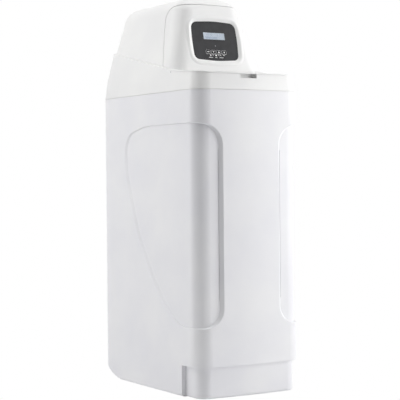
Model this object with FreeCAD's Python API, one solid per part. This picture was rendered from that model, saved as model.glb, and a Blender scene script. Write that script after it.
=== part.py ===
import FreeCAD, Part
import math
import os

Vec = FreeCAD.Vector
X_AXIS = Vec(1, 0, 0)
Y_AXIS = Vec(0, 1, 0)
Z_AXIS = Vec(0, 0, 1)

# Cabinet: a moulded tank, bowed at the front, standing on the floor at z = 0
cabinet_width = 335.0
cabinet_front = -284.0
cabinet_back = 275.0
front_bow = 9.0
front_corner_radius = 48.0
back_corner_radius = 42.0
seam_height = 818.0
cabinet_wall = 4.0
skid_length = 120.0
skid_height = 75.0
skid_heel_radius = 50.0
skid_heel_offset = 0.6
floor_edge_radius = 8.0
half_width = cabinet_width / 2
bow_radius = (half_width ** 2 + front_bow ** 2) / (2 * front_bow)

# Relief panels: one on each side, wrapping the front corner
relief_side_depth = 3.6
relief_front_depth = 9.0
relief_edge_radius = 2.4
relief_side_run = 9.0
relief_front_run = 8.0
relief_slope_margin = 3.0
relief_groove_width = 1.6
relief_groove_depth = 2.0
relief_groove_end = 70.0
relief_top = 730.0
relief_bottom = 188.0
relief_side_reach = 70.5
relief_inner_x = half_width - relief_side_reach
relief_front_top_radius = 60.0
relief_front_bottom_radius = 50.0
relief_side_outline = [
    (0.0, relief_top, 300.0),
    (118.0, 706.0, 60.0),
    (112.0, 600.0, 150.0),
    (45.0, 425.0, 400.0),
    (-58.0, 284.0, 400.0),
    (-165.0, relief_bottom, 150.0),
]

# Set-back base below the front
base_height = 85.0
base_inset = 12.0
base_step_y = -190.0
base_edge_radius = 6.0

# Collar on top of the cabinet
collar_wall = 3.0
collar_lip_depth = 12.0
collar_lip_thickness = 2.4
collar_lip_clearance = 0.3
seam_gap = 1.6
seam_gap_depth = 2.0
collar_levels = [
    (0.0, 0.0, 0.0, 0.0),
    (27.0, 2.6, 2.4, 1.8),
    (67.0, 9.0, 4.8, 4.6),
    (102.0, 16.8, 4.8, 8.0),
    (147.0, 27.0, 4.8, 12.0),
]
deck_front_y = -126.4
deck_front_height = 879.0
deck_slope = 0.2035
deck_thickness = 3.0

# Salt lid and its hinge
lid_front_height = 864.5
lid_slope = math.tan(math.radians(5.3))
lid_thickness = 3.0
lid_gap = 0.6
lid_rear_gap = 2.6
lid_rear_radius = 2.4
lid_skirt_depth = 8.0
lid_skirt_thickness = 2.2
lid_skirt_clearance = 1.6
hatch_margin = 26.0
hatch_rear_y = -150.0
hatch_front_y = -260.0
hatch_radius = 30.0
valve_opening_margin = 49.5
valve_opening_half = half_width - valve_opening_margin
valve_opening_front = -95.0
valve_opening_back = 238.0
valve_opening_radius = 40.0
hinge_y = -134.0
hinge_height = 872.0
hinge_pin_radius = 1.5
hinge_pin_clearance = 0.06
hinge_lug_radius = 3.4
hinge_lug_width = 10.0
hinge_lug_side_gap = 0.8
hinge_pin_seat = 6.0
hinge_beam_front_y = -146.0
hinge_beam_height = 16.0
hinge_knuckle_radius = 6.9
hinge_knuckle_clearance = 0.3
hinge_knuckle_reach = 12.0
hinge_saddle_height = 2.6
hinge_knuckle_x = half_width - hinge_knuckle_reach
hinge_lug_x = hinge_knuckle_x - hinge_lug_side_gap - hinge_lug_width / 2
hinge_groove_front = 5.6
hinge_groove_depth = 7.6

# Finger notch under the front edge of the lid
notch_left = -32.0
notch_right = 20.0
notch_bottom = 850.5
notch_depth = 13.0
notch_wall = 2.4
notch_radius = 4.0

# Domed hood and the control fascia in front of it
hood_wall = 3.0
dome_front_margin = 27.9
dome_rear_margin = 10.6
dome_front_half = half_width - dome_front_margin
dome_rear_half = half_width - dome_rear_margin
dome_reference_height = 888.0
dome_wall_slope = 0.26
dome_apex = 1093.0
dome_crown_radius = 260.0
dome_corner_radius = 50.0
dome_front_section_y = -140.0
dome_rear_section_y = 280.0
dome_front_fillet = 44.0
dome_rear_fillet = 46.0
dome_rear_y = 263.0
dome_rear_reference_height = 947.0
dome_rear_slope = 0.14
dome_deck_gap = 0.3
fascia_seam = [(-76.0, 840.0, 0.0), (-27.0, 984.0, 200.0), (-9.0, 1058.5, 31.0), (-160.0, 1078.0, 0.0)]
fascia_seam_gap = 2.0
fascia_lip_reach = 7.0
fascia_lip_overlap = 8.0
fascia_lip_clearance = 0.3
fascia_lip_thickness = 2.0
hood_flange_width = 13.0
hood_flange_thickness = 3.0

# Control panel, set in a leaning pocket of the fascia
panel_lean = 12.4
panel_centre_y = -104.7
panel_centre_height = 966.4
panel_side_margin = 68.1
panel_half_width = dome_front_half - panel_side_margin
panel_half_height = 53.5
panel_side_bow = 2.5
panel_end_bow = 4.5
panel_top_radius = 20.0
panel_bottom_radius = 16.0
panel_bow_radius = 300.0
pocket_depth = 4.2
pocket_floor = 2.8
pocket_pad_margin = 10.0
pocket_clearance = 0.3
dish_width = 9.0
dish_depth = 2.6
dish_ledge = 0.8
dish_rise = 2.0
dish_edge_radius = 10.0
overlay_thickness = 1.2
display_width = 70.0
display_height = 20.0
display_offset = 14.5
display_corner_radius = 1.5
window_clearance = 0.15
window_recess = 0.4
key_pitch = 17.2
key_offset = -32.0
key_width = 11.0
key_height = 7.6
key_corner_radius = 2.5
key_clearance = 0.35
key_proud = 0.5
key_travel = 0.8
key_seat_gap = 0.3
key_flange = 1.4
key_flange_thickness = 1.2
switch_size = 6.0
switch_height = 4.4
switch_gap = 0.1
board_side_gap = 19.0
board_width = 2 * panel_half_width - board_side_gap
board_height = 92.0
board_thickness = 1.6
board_depth = 17.4
board_offset = -2.0
board_post_inset = 6.0
board_post_radius = 4.0
board_screw_radius = 1.4
board_screw_head_radius = 2.9
board_screw_head_height = 1.8
board_screw_reach = 6.0
module_width = 80.0
module_height = 36.0
module_gap = 0.3

# Pressure vessel of 10 x 35 inches, standing in its boot
vessel_y = 120.0
vessel_radius = 128.5
vessel_height = 889.0
vessel_wall = 3.5
vessel_bottom_radius = 64.0
vessel_shoulder_radius = 60.0
vessel_shoulder_drop = 75.0
neck_height = 20.0
neck_radius = 42.0
neck_bore = 31.0
neck_fillet = 6.0
pad_height = 14.0
pad_radius = 80.0
boot_base = 2.0
boot_radius = 92.0
boot_height = 7.5
boot_chamfer = 6.0
boot_clearance = 0.3
resin_fill_height = 560.0
resin_clearance = 0.3
riser_radius = 13.35
riser_wall = 1.8
riser_clearance = 0.2
bottom_strainer_radius = 30.0
bottom_strainer_height = 70.0
bottom_strainer_lift = 6.0
top_strainer_radius = 28.0
top_strainer_height = 55.0

# Control valve on the vessel's neck
valve_flange_radius = 50.0
valve_flange_height = 20.0
valve_spigot_clearance = 0.25
valve_spigot_length = 24.0
valve_core_radius = 36.0
o_ring_radius = 36.5
o_ring_section = 1.3
o_ring_groove_clearance = 0.1
port_x = 32.0
port_height = 928.0
port_radius = 18.0
port_bore = 12.0
port_reach = 190.0
head_height = 985.0
head_radius = 36.0
head_front_y = 62.0
gear_plate_thickness = 4.0
gear_cover_depth = 24.0
gear_cover_wall = 2.4
gear_cover_margin = 6.0
gear_module = 2.5
gear_teeth = 36
pinion_teeth = 12
pinion_angle = 45.0
gear_face = 10.0
pinion_face = 12.0
tooth_share = 0.40
tooth_addendum = 0.75
tooth_dedendum = 1.05
shaft_radius = 7.0
shaft_clearance = 0.08
disc_radius = 29.0
disc_thickness = 7.0
disc_gap = 0.05
disc_back_y = 96.0
pivot_radius = 4.0
pivot_length = 6.0
running_clearance = 0.06
gear_hub_radius = 12.0
gear_front_y = 43.5
plate_corner_radius = 20.0
motor_radius = 21.0
motor_length = 24.0
motor_shaft_radius = 3.0
injector_radius = 15.0
injector_y = 108.0
injector_height = 985.0
injector_reach = 52.0
injector_cap_radius = 18.0
injector_cap_length = 12.0
side_boss_radius = 12.0
side_boss_reach = 70.0
drain_y = 150.0
drain_height = 936.0
drain_x = 88.0
drain_tube_radius = 6.75
drain_nut_radius = 15.0
drain_nut_length = 10.0
drain_elbow_radius = 10.0
drain_bore = 4.5
drain_neck_radius = 6.0
drain_spigot_length = 30.0
brine_boss_y = 100.0
brine_boss_height = 940.0
brine_elbow_x = 80.0
brine_tube_radius = 4.75
brine_tube_bore = 3.2
brine_nut_radius = 9.0
brine_nut_length = 10.0
brine_spout_radius = 7.0
brine_spout_y = 84.0
brine_line_turns = [(80.0, 22.0, 940.0), (98.0, -36.0, 905.0)]
brine_line_drop = 116.0
brine_line_end_gap = 0.2

# Bypass block and the pipe connectors at the back
pipe_end_y = 300.0
bypass_start_y = 190.6
bypass_length = 44.0
bypass_barrel_radius = 20.0
bypass_cross_radius = 11.0
bypass_boss_radius = 15.0
bypass_boss_height = 29.0
rotor_radius = 9.5
rotor_clearance = 0.06
knob_height = 16.0
knob_length = 46.0
knob_width = 13.0
knob_gap = 0.3
connector_barrel_radius = 15.0
connector_thread_radius = 16.6
connector_thread_length = 28.0
connector_flange_radius = 20.0
connector_flange = 4.0
connector_gap = 0.3
union_nut_radius = 21.5
union_nut_length = 16.0
union_nut_clearance = 0.2
clip_width = 5.0
clip_thickness = 2.4
clip_clearance = 0.1
pipe_hole_radius = 21.0

# Brine well with its safety float, in the right corner of the tank
well_side_gap = 62.5
well_x = half_width - well_side_gap
well_y = -60.0
well_radius = 45.0
well_wall = 2.0
well_top = 790.0
well_slot_width = 6.0
well_slot_height = 40.0
cap_thickness = 3.0
cap_overhang = 2.5
cap_skirt = 8.0
cap_clearance = 0.2
float_offset = 13.0
float_x = well_x - float_offset
float_radius = 23.0
float_height = 60.0
float_bottom = 360.0
float_lift = 18.0
rod_radius = 2.0
rod_clearance = 0.06
rod_bottom = 330.0
rod_head_room = 14.0
grommet_radius = 6.0
grommet_thickness = 5.0
pickup_offset = 22.0
pickup_x = well_x + pickup_offset
brine_valve_bottom = 700.0
brine_valve_height = 34.0
brine_valve_left = well_x - 27.0
brine_valve_right = well_x + 35.0
brine_valve_half_depth = 14.0
air_check_radius = 12.0
air_check_bottom = 12.0
air_check_height = 90.0

# Overflow fitting and cable grommet
overflow_side_gap = 63.5
overflow_x = half_width - overflow_side_gap
overflow_height = 690.0
overflow_shank_radius = 10.0
overflow_bore = 6.0
overflow_spigot_radius = 8.0
overflow_flange_radius = 18.0
overflow_flange = 3.0
overflow_nut_thickness = 8.0
gasket_thickness = 2.0
grommet_x = 88.0
cable_grommet_height = 925.0
cable_bore = 3.0
cable_grommet_radius = 7.0
cable_grommet_flange = 10.0
cable_grommet_flange_thickness = 2.0
fit_clearance = 0.1

# Screws through the back of the hood into tabs of the collar
hood_screw_radius = 2.0
hood_screw_head_radius = 4.0
hood_screw_head_height = 2.4
hood_screw_reach = 9.0
hood_screw_x = 70.0
hood_screw_height = 975.0
hood_tab_width = 18.0
hood_tab_thickness = 6.0
hood_tab_rise = 8.0
hood_tab_gap = 0.3


def save(shape, name):
    """Write one sub-part to its own file"""
    os.makedirs("parts", exist_ok=True)
    clean = shape.removeSplitter() if shape.ShapeType != "Compound" else shape
    solids = clean.Solids
    body = solids[0] if len(solids) == 1 else Part.Compound(solids)
    for solid in solids:
        if not solid.isValid():
            print("not valid:", name)
    body.exportStep("parts/" + name + ".step")
    print(name, len(solids), round(sum(s.Volume for s in solids)))


def rounded_path(points, place):
    """Closed wire through (a, b, radius) corners; place turns (a, b) into a point"""
    edges = []
    ends = []
    count = len(points)
    for index in range(count):
        a0, b0, _ = points[index - 1]
        a1, b1, radius = points[index]
        a2, b2, _ = points[(index + 1) % count]
        d_in = (a0 - a1, b0 - b1)
        d_out = (a2 - a1, b2 - b1)
        len_in = math.hypot(*d_in)
        len_out = math.hypot(*d_out)
        u_in = (d_in[0] / len_in, d_in[1] / len_in)
        u_out = (d_out[0] / len_out, d_out[1] / len_out)
        if radius <= 0:
            ends.append(((a1, b1), None, (a1, b1)))
            continue
        cosine = u_in[0] * u_out[0] + u_in[1] * u_out[1]
        half = math.acos(max(-1.0, min(1.0, cosine))) / 2
        reach = radius / math.tan(half)
        start = (a1 + u_in[0] * reach, b1 + u_in[1] * reach)
        end = (a1 + u_out[0] * reach, b1 + u_out[1] * reach)
        bis = (u_in[0] + u_out[0], u_in[1] + u_out[1])
        bis_len = math.hypot(*bis)
        to_centre = radius / math.sin(half)
        near = to_centre - radius
        middle = (a1 + bis[0] / bis_len * near, b1 + bis[1] / bis_len * near)
        ends.append((start, middle, end))
    for index in range(count):
        start, middle, end = ends[index]
        following = ends[(index + 1) % count][0]
        if middle:
            edges.append(Part.Arc(place(*start), place(*middle), place(*end)).toShape())
        if math.hypot(following[0] - end[0], following[1] - end[1]) > 1e-6:
            edges.append(Part.LineSegment(place(*end), place(*following)).toShape())
    return Part.Wire(edges)


def side_prism(points, x0, x1):
    """Solid from a side-view outline of (y, z, radius) corners, between x0 and x1"""
    wire = rounded_path(points, lambda a, b: Vec(x0, a, b))
    return Part.Face(wire).extrude(Vec(x1 - x0, 0, 0))


def front_prism(points, y0, y1):
    """Solid from a front-view outline of (x, z, radius) corners, between y0 and y1"""
    wire = rounded_path(points, lambda a, b: Vec(a, y0, b))
    return Part.Face(wire).extrude(Vec(0, y1 - y0, 0))


def top_prism(points, z0, z1):
    """Solid from a plan outline of (x, y, radius) corners, between z0 and z1"""
    wire = rounded_path(points, lambda a, b: Vec(a, b, z0))
    return Part.Face(wire).extrude(Vec(0, 0, z1 - z0))


def block(x0, x1, y0, y1, z0, z1):
    return Part.makeBox(x1 - x0, y1 - y0, z1 - z0, Vec(x0, y0, z0))


def rod(radius, x, y, z, direction, length):
    return Part.makeCylinder(radius, length, Vec(x, y, z), direction)


def tube(radius, bore, x, y, z, direction, length):
    outer = rod(radius, x, y, z, direction, length)
    past = direction * 1.0
    inner = rod(bore, x - past.x, y - past.y, z - past.z, direction, length + 2.0)
    return outer.cut(inner)


def revolve_profile(points, x, y):
    """Solid of revolution about a vertical axis, from (radius, z, corner radius) points"""
    wire = rounded_path(points, lambda a, b: Vec(x + a, y, b))
    return Part.Face(wire).revolve(Vec(x, y, 0), Z_AXIS, 360)


def plan_wire(z, inset=0.0, side=0.0, front=0.0, back=0.0):
    """Cabinet outline at a height: bowed front, straight sides, four round corners"""
    half = half_width - side - inset
    front_y = cabinet_front + front + inset
    back_y = cabinet_back - back - inset
    bow = bow_radius - inset
    rf = max(front_corner_radius - inset, 2.0)
    rb = max(back_corner_radius - inset, 2.0)
    bow_y = front_y + bow
    cx = half - rf
    cy = bow_y - math.sqrt((bow - rf) ** 2 - cx ** 2)
    share = bow / (bow - rf)
    tx = cx * share
    ty = bow_y + (cy - bow_y) * share
    mid_x = 1.0 + (tx - cx) / rf
    mid_y = (ty - cy) / rf
    mid = math.hypot(mid_x, mid_y)
    mx = cx + mid_x / mid * rf
    my = cy + mid_y / mid * rf
    diag = rb * math.sqrt(0.5)
    by = back_y - rb
    bx = half - rb

    def p(x, y):
        return Vec(x, y, z)

    edges = [
        Part.Arc(p(-half, cy), p(-mx, my), p(-tx, ty)).toShape(),
        Part.Arc(p(-tx, ty), p(0, front_y), p(tx, ty)).toShape(),
        Part.Arc(p(tx, ty), p(mx, my), p(half, cy)).toShape(),
        Part.LineSegment(p(half, cy), p(half, by)).toShape(),
        Part.Arc(p(half, by), p(bx + diag, by + diag), p(bx, back_y)).toShape(),
        Part.LineSegment(p(bx, back_y), p(-bx, back_y)).toShape(),
        Part.Arc(p(-bx, back_y), p(-bx - diag, by + diag), p(-half, by)).toShape(),
        Part.LineSegment(p(-half, by), p(-half, cy)).toShape(),
    ]
    return Part.Wire(edges)


def plan_prism(z0, z1, inset=0.0):
    return Part.Face(plan_wire(z0, inset)).extrude(Vec(0, 0, z1 - z0))


def skid_profile(inset, top):
    """Side-view outline of the tank, with the rounded heel at the bottom of the back"""
    length = skid_length - inset
    height = skid_height - inset
    heel = skid_heel_radius - inset
    sole = ((length - heel) ** 2 + height ** 2 - heel ** 2) / (2 * (height - heel))
    back = cabinet_back + skid_heel_offset - inset
    start = Vec(0, back - length, inset)
    sole_centre = Vec(0, back - length, inset + sole)
    heel_centre = Vec(0, back - heel, inset + height)
    toward = (heel_centre - sole_centre).normalize()
    join = sole_centre + toward * sole
    mid_sole = (toward + Vec(0, 0, -1)).normalize()
    mid_heel = (toward + Vec(0, 1, 0)).normalize()
    end = Vec(0, back, inset + height)
    far = cabinet_front - 50.0
    edges = [
        Part.LineSegment(Vec(0, far, inset), start).toShape(),
        Part.Arc(start, sole_centre + mid_sole * sole, join).toShape(),
        Part.Arc(join, heel_centre + mid_heel * heel, end).toShape(),
        Part.LineSegment(end, Vec(0, back, top)).toShape(),
        Part.LineSegment(Vec(0, back, top), Vec(0, far, top)).toShape(),
        Part.LineSegment(Vec(0, far, top), Vec(0, far, inset)).toShape(),
    ]
    wire = Part.Wire(edges)
    wire.translate(Vec(-half_width - 50.0, 0, 0))
    return Part.Face(wire).extrude(Vec(cabinet_width + 100.0, 0, 0))


def relief_side_wire(x, run):
    """Relief outline as seen from the side, its rear boundary moved back by a run"""
    far = cabinet_front - 100.0
    outline = [(far, relief_top, 0.0)]
    outline += [(y + run, z, radius) for y, z, radius in relief_side_outline]
    outline.append((far, relief_bottom, 0.0))
    return rounded_path(outline, lambda a, b: Vec(x, a, b))


def relief_front_wire(y, run, grow):
    """Left relief outline as seen from the front, its inner boundary moved by a run"""
    inner = -relief_inner_x + run + grow
    outer = -half_width - 60.0
    return rounded_path([
        (outer, relief_top + grow, 0.0),
        (inner, relief_top + grow, relief_front_top_radius + grow),
        (inner, relief_bottom - grow, relief_front_bottom_radius + grow),
        (outer, relief_bottom - grow, 0.0),
    ], lambda a, b: Vec(a, y, b))


def relief_windows():
    """The two relief openings: walls that slope out at the rear and the front, upright elsewhere"""
    floor_x = -half_width + relief_side_depth
    reach = relief_side_depth + relief_slope_margin
    side = Part.makeLoft([
        relief_side_wire(floor_x, 0.0),
        relief_side_wire(floor_x - reach, relief_side_run * reach / relief_side_depth),
    ], True, True)
    side = side.fuse(Part.Face(relief_side_wire(floor_x, 0.0)).extrude(Vec(half_width, 0, 0)))
    floor_y = cabinet_front + relief_front_depth + relief_inner_x ** 2 / (2 * bow_radius)
    reach = floor_y - cabinet_front + relief_slope_margin
    front = Part.makeLoft([
        relief_front_wire(floor_y, 0.0, 0.0),
        relief_front_wire(floor_y - reach, relief_front_run * reach / relief_front_depth, 0.0),
    ], True, True)
    depth = Vec(0, cabinet_back - floor_y + 50.0, 0)
    front = front.fuse(Part.Face(relief_front_wire(floor_y, 0.0, 0.0)).extrude(depth))
    left = side.common(front)
    return [left, left.mirror(Vec(0, 0, 0), X_AXIS)]


def relief_rooms(wall):
    """Space that the inside of the tank leaves free behind the two reliefs"""
    wire = relief_side_wire(-half_width - 50.0, relief_side_run).makeOffset2D(wall)
    side = Part.Face(wire).extrude(Vec(half_width, 0, 0))
    start = relief_front_wire(cabinet_front - 120.0, relief_front_run, wall)
    front = Part.Face(start).extrude(Vec(0, cabinet_back - cabinet_front + 170.0, 0))
    left = side.common(front)
    return [left, left.mirror(Vec(0, 0, 0), X_AXIS)]


def relief_grooves():
    """Narrow groove down the foot of each relief's front wall"""
    floor_y = cabinet_front + relief_front_depth + relief_inner_x ** 2 / (2 * bow_radius)
    left = block(-relief_inner_x - relief_groove_width, -relief_inner_x, floor_y - 1.0,
                 floor_y + relief_groove_depth, relief_bottom + relief_groove_end,
                 relief_top - relief_groove_end)
    return [left, left.mirror(Vec(0, 0, 0), X_AXIS)]


def relief_floor(z0, z1, inset=0.0):
    """Form whose skin is the floor of the reliefs: shallow on the sides, deeper at the front"""
    outline = plan_wire(z0, relief_side_depth + inset, front=relief_front_depth - relief_side_depth)
    return Part.Face(outline).extrude(Vec(0, 0, z1 - z0))


def tank_form(inset, top):
    """Solid form of the tank, set in from the outer surface by a wall"""
    form = plan_prism(inset, top, inset).common(skid_profile(inset, top + 1.0))
    edge = floor_edge_radius - inset
    if edge > 0:
        low = [e for e in form.Edges if e.BoundBox.ZMax < skid_height and is_rim(form, e, inset)]
        form = form.makeFillet(edge, low)
    base = plan_prism(inset, base_height + inset, base_inset + inset)
    if inset == 0:
        floor = [e for e in base.Edges if e.BoundBox.ZMax < 0.01]
        base = base.makeFillet(base_edge_radius, floor)
    step = block(-half_width - 20.0, half_width + 20.0, cabinet_front - 20.0, base_step_y + inset,
                 -10.0, base_height + inset)
    form = form.cut(step.cut(base))
    hollow = relief_floor(relief_bottom - 60.0, relief_top + 60.0, inset)
    for window in relief_rooms(inset) if inset > 0 else relief_windows():
        form = form.cut(window.cut(hollow))
    return form


def is_rim(form, edge, inset):
    """True for an edge that runs round the bottom of the tank"""
    box = edge.BoundBox
    upright = box.ZMax - box.ZMin > 0.8 * box.DiagonalLength
    middle = edge.valueAt((edge.FirstParameter + edge.LastParameter) / 2)
    level = abs(box.ZMin - inset) < 0.01 and abs(box.ZMax - inset) < 0.01
    across = box.XMax - box.XMin > half_width
    if across and middle.z > inset + 0.01:
        return False
    if across and middle.y > 0:
        return False
    return level or (not upright and not across)


def softened(form):
    """Round the rims of the reliefs"""
    skin = plan_prism(0.0, seam_height)
    rims = []
    for window in relief_windows():
        rims += edges_between(form, skin, window)
    return form.makeFillet(relief_edge_radius, rims)


def cabinet_shell():
    """The tank: open at the top, one wall thick, with a seat for the vessel's boot"""
    form = tank_form(0.0, seam_height)
    shell = softened(form).cut(tank_form(cabinet_wall, seam_height + 1.0))
    for groove in relief_grooves():
        shell = shell.cut(groove)
    pad = rod(pad_radius, 0, vessel_y, 0, Z_AXIS, pad_height).common(form)
    hole = rod(overflow_shank_radius + fit_clearance, overflow_x, vessel_y, overflow_height,
               Y_AXIS, cabinet_back - vessel_y + 10.0)
    return shell.fuse(pad).cut(hole)


def deck_height(y):
    return deck_front_height + deck_slope * (y - deck_front_y)


def lid_height(y):
    return lid_front_height + lid_slope * (y - cabinet_front - collar_levels[-1][2])


def ledge_height(y):
    return lid_height(y) - lid_thickness - lid_gap


def collar_form(inset):
    """Tapering form of the collar, from the seam up"""
    wires = []
    for rise, side, front, back in collar_levels:
        wires.append(plan_wire(seam_height + rise, inset, side, front, back))
    return Part.makeLoft(wires, True, False)


def top_collar():
    """Collar moulding: outer skin, ledge round the salt hatch and sloping deck for the hood"""
    near = cabinet_front - 60.0
    far = cabinet_back + 60.0
    low = seam_height - 40.0
    wall = collar_wall
    across = half_width + 20.0
    under_top = side_prism([
        (near, low, 0.0),
        (far, low, 0.0),
        (far, deck_height(far), 0.0),
        (deck_front_y, deck_front_height, 0.0),
        (deck_front_y, ledge_height(deck_front_y), 0.0),
        (near, ledge_height(near), 0.0),
    ], -across, across)
    under_skin = side_prism([
        (near, low, 0.0),
        (far, low, 0.0),
        (far, deck_height(far) - deck_thickness, 0.0),
        (deck_front_y + wall, deck_height(deck_front_y + wall) - deck_thickness, 0.0),
        (deck_front_y + wall, ledge_height(deck_front_y) - hinge_beam_height, 0.0),
        (hinge_beam_front_y, ledge_height(hinge_beam_front_y) - hinge_beam_height, 0.0),
        (hinge_beam_front_y, ledge_height(hinge_beam_front_y) - wall, 0.0),
        (near, ledge_height(near) - wall, 0.0),
    ], -across, across)
    form = collar_form(0.0)
    collar = form.cut(collar_form(wall).common(under_skin))
    inner = collar_lip_clearance + cabinet_wall
    lip_in = inner + collar_lip_thickness
    ring_top = seam_height + 6.0
    ring = plan_prism(seam_height, ring_top, seam_gap_depth)
    lip = plan_prism(seam_height - collar_lip_depth, ring_top, inner)
    collar = collar.fuse(ring.fuse(lip).cut(plan_prism(seam_height - 20.0, ring_top + 1.0, lip_in)))
    groove = plan_prism(seam_height - 1.0, seam_height + seam_gap, -5.0)
    collar = collar.cut(groove.cut(plan_prism(seam_height - 2.0, ring_top, seam_gap_depth)))
    notch_back = cabinet_front + collar_levels[-1][2] + notch_depth
    housing = block(notch_left - notch_wall, notch_right + notch_wall, near,
                    notch_back + notch_wall, notch_bottom - notch_wall, lid_front_height)
    collar = collar.fuse(housing.common(form)).common(under_top)
    notch = side_prism([
        (near, notch_bottom, 0.0),
        (notch_back, notch_bottom, notch_radius),
        (notch_back, lid_front_height + 10.0, 0.0),
        (near, lid_front_height + 10.0, 0.0),
    ], notch_left, notch_right)
    hatch = top_prism(hatch_outline(0.0), seam_height + 10.0, deck_front_height + 20.0)
    collar = collar.cut(notch).cut(hatch)
    opening = top_prism(valve_opening(), seam_height + 30.0, deck_height(far))
    collar = collar.cut(opening)
    collar = collar.cut(block(-hinge_knuckle_x, hinge_knuckle_x, hinge_y - hinge_groove_front,
                              deck_front_y, hinge_height - hinge_groove_depth,
                              deck_front_height + 10.0))
    for sign in (-1, 1):
        collar = collar.fuse(hinge_knuckle(sign, form))
        collar = collar.cut(hinge_bore(sign))
        collar = collar.fuse(hood_tab(sign * hood_screw_x)).cut(hood_screw_hole(sign * hood_screw_x))
        collar = collar.cut(rod(pipe_hole_radius, sign * port_x, bypass_start_y, port_height,
                                Y_AXIS, 120.0))
    collar = collar.cut(rod(drain_tube_radius + 2.0, -drain_x, bypass_start_y, drain_height,
                            Y_AXIS, 120.0))
    return collar.cut(rod(cable_grommet_radius + fit_clearance, grommet_x, bypass_start_y,
                          cable_grommet_height, Y_AXIS, 120.0))


def hinge_knuckle(sign, form):
    """Round knuckle of the collar beside the lid's rear corner, level with the lid's top"""
    inner = hinge_knuckle_x
    outer = half_width + 10.0
    low = min(sign * inner, sign * outer)
    knuckle = rod(hinge_knuckle_radius, low, hinge_y, hinge_height, X_AXIS, outer - inner)
    behind = block(low, low + outer - inner, hinge_y, deck_front_y + 1.0,
                   hinge_height - hinge_knuckle_radius, hinge_height + hinge_saddle_height)
    under_lid_top = side_prism([
        (cabinet_front, seam_height, 0.0),
        (deck_front_y + 1.0, seam_height, 0.0),
        (deck_front_y + 1.0, lid_height(deck_front_y + 1.0), 0.0),
        (cabinet_front, lid_height(cabinet_front), 0.0),
    ], -outer, outer)
    return knuckle.fuse(behind).common(form).common(under_lid_top)


def hinge_bore(sign):
    """Bore for one hinge pin, through the lug and into the knuckle"""
    length = hinge_lug_width + hinge_lug_side_gap + hinge_pin_seat
    inner = hinge_lug_x - hinge_lug_width / 2
    low = min(sign * inner, sign * (inner + length))
    return rod(hinge_pin_radius + hinge_pin_clearance, low, hinge_y, hinge_height, X_AXIS, length)


def hatch_outline(inset):
    half = half_width - hatch_margin - inset
    radius = hatch_radius - inset
    return [
        (-half, hatch_front_y + inset, radius),
        (half, hatch_front_y + inset, radius),
        (half, hatch_rear_y - inset, radius),
        (-half, hatch_rear_y - inset, radius),
    ]


def valve_opening():
    return [
        (-valve_opening_half, valve_opening_front, valve_opening_radius),
        (valve_opening_half, valve_opening_front, valve_opening_radius),
        (valve_opening_half, valve_opening_back, valve_opening_radius),
        (-valve_opening_half, valve_opening_back, valve_opening_radius),
    ]


def rear_plane_y(z):
    return dome_rear_y - dome_rear_slope * (z - dome_rear_reference_height)


def rear_axis():
    """Direction of the hood screws, square to the leaning back of the hood"""
    return Vec(0, 1, dome_rear_slope).normalize()


def hood_tab(x):
    """Upright tab of the collar, just inside the back wall of the hood"""
    low = deck_height(cabinet_back) - 30.0
    high = hood_screw_height + hood_tab_rise
    skin = hood_wall + hood_tab_gap
    outline = [
        (rear_plane_y(low) - skin, low, 0.0),
        (rear_plane_y(high) - skin, high, 0.0),
        (rear_plane_y(high) - skin - hood_tab_thickness, high, 0.0),
        (rear_plane_y(low) - skin - hood_tab_thickness, low, 0.0),
    ]
    tab = side_prism(outline, x - hood_tab_width / 2, x + hood_tab_width / 2)
    keep = block(x - hood_tab_width, x + hood_tab_width, 0.0, cabinet_back,
                 deck_height(rear_plane_y(low) - 12.0) - deck_thickness, high + 1.0)
    return tab.common(keep)


def hood_screw_hole(x):
    start = Vec(x, rear_plane_y(hood_screw_height), hood_screw_height)
    axis = rear_axis()
    base = start + axis * 2.0
    return Part.makeCylinder(hood_screw_radius + fit_clearance, hood_screw_reach + 6.0, base, axis * -1)


def hood_screws():
    screws = []
    axis = rear_axis()
    for sign in (-1, 1):
        seat = Vec(sign * hood_screw_x, rear_plane_y(hood_screw_height), hood_screw_height)
        shank = Part.makeCylinder(hood_screw_radius, hood_screw_reach, seat, axis * -1)
        head = Part.makeCylinder(hood_screw_head_radius, hood_screw_head_height, seat, axis)
        crown = [e for e in head.Edges if e.CenterOfMass.y > seat.y + hood_screw_head_height / 2
                 and e.Closed and len(e.Vertexes) == 1]
        head = head.makeFillet(hood_screw_head_height / 2, crown[:1])
        screws.append(head.fuse(shank))
    return Part.Compound(screws)


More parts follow.
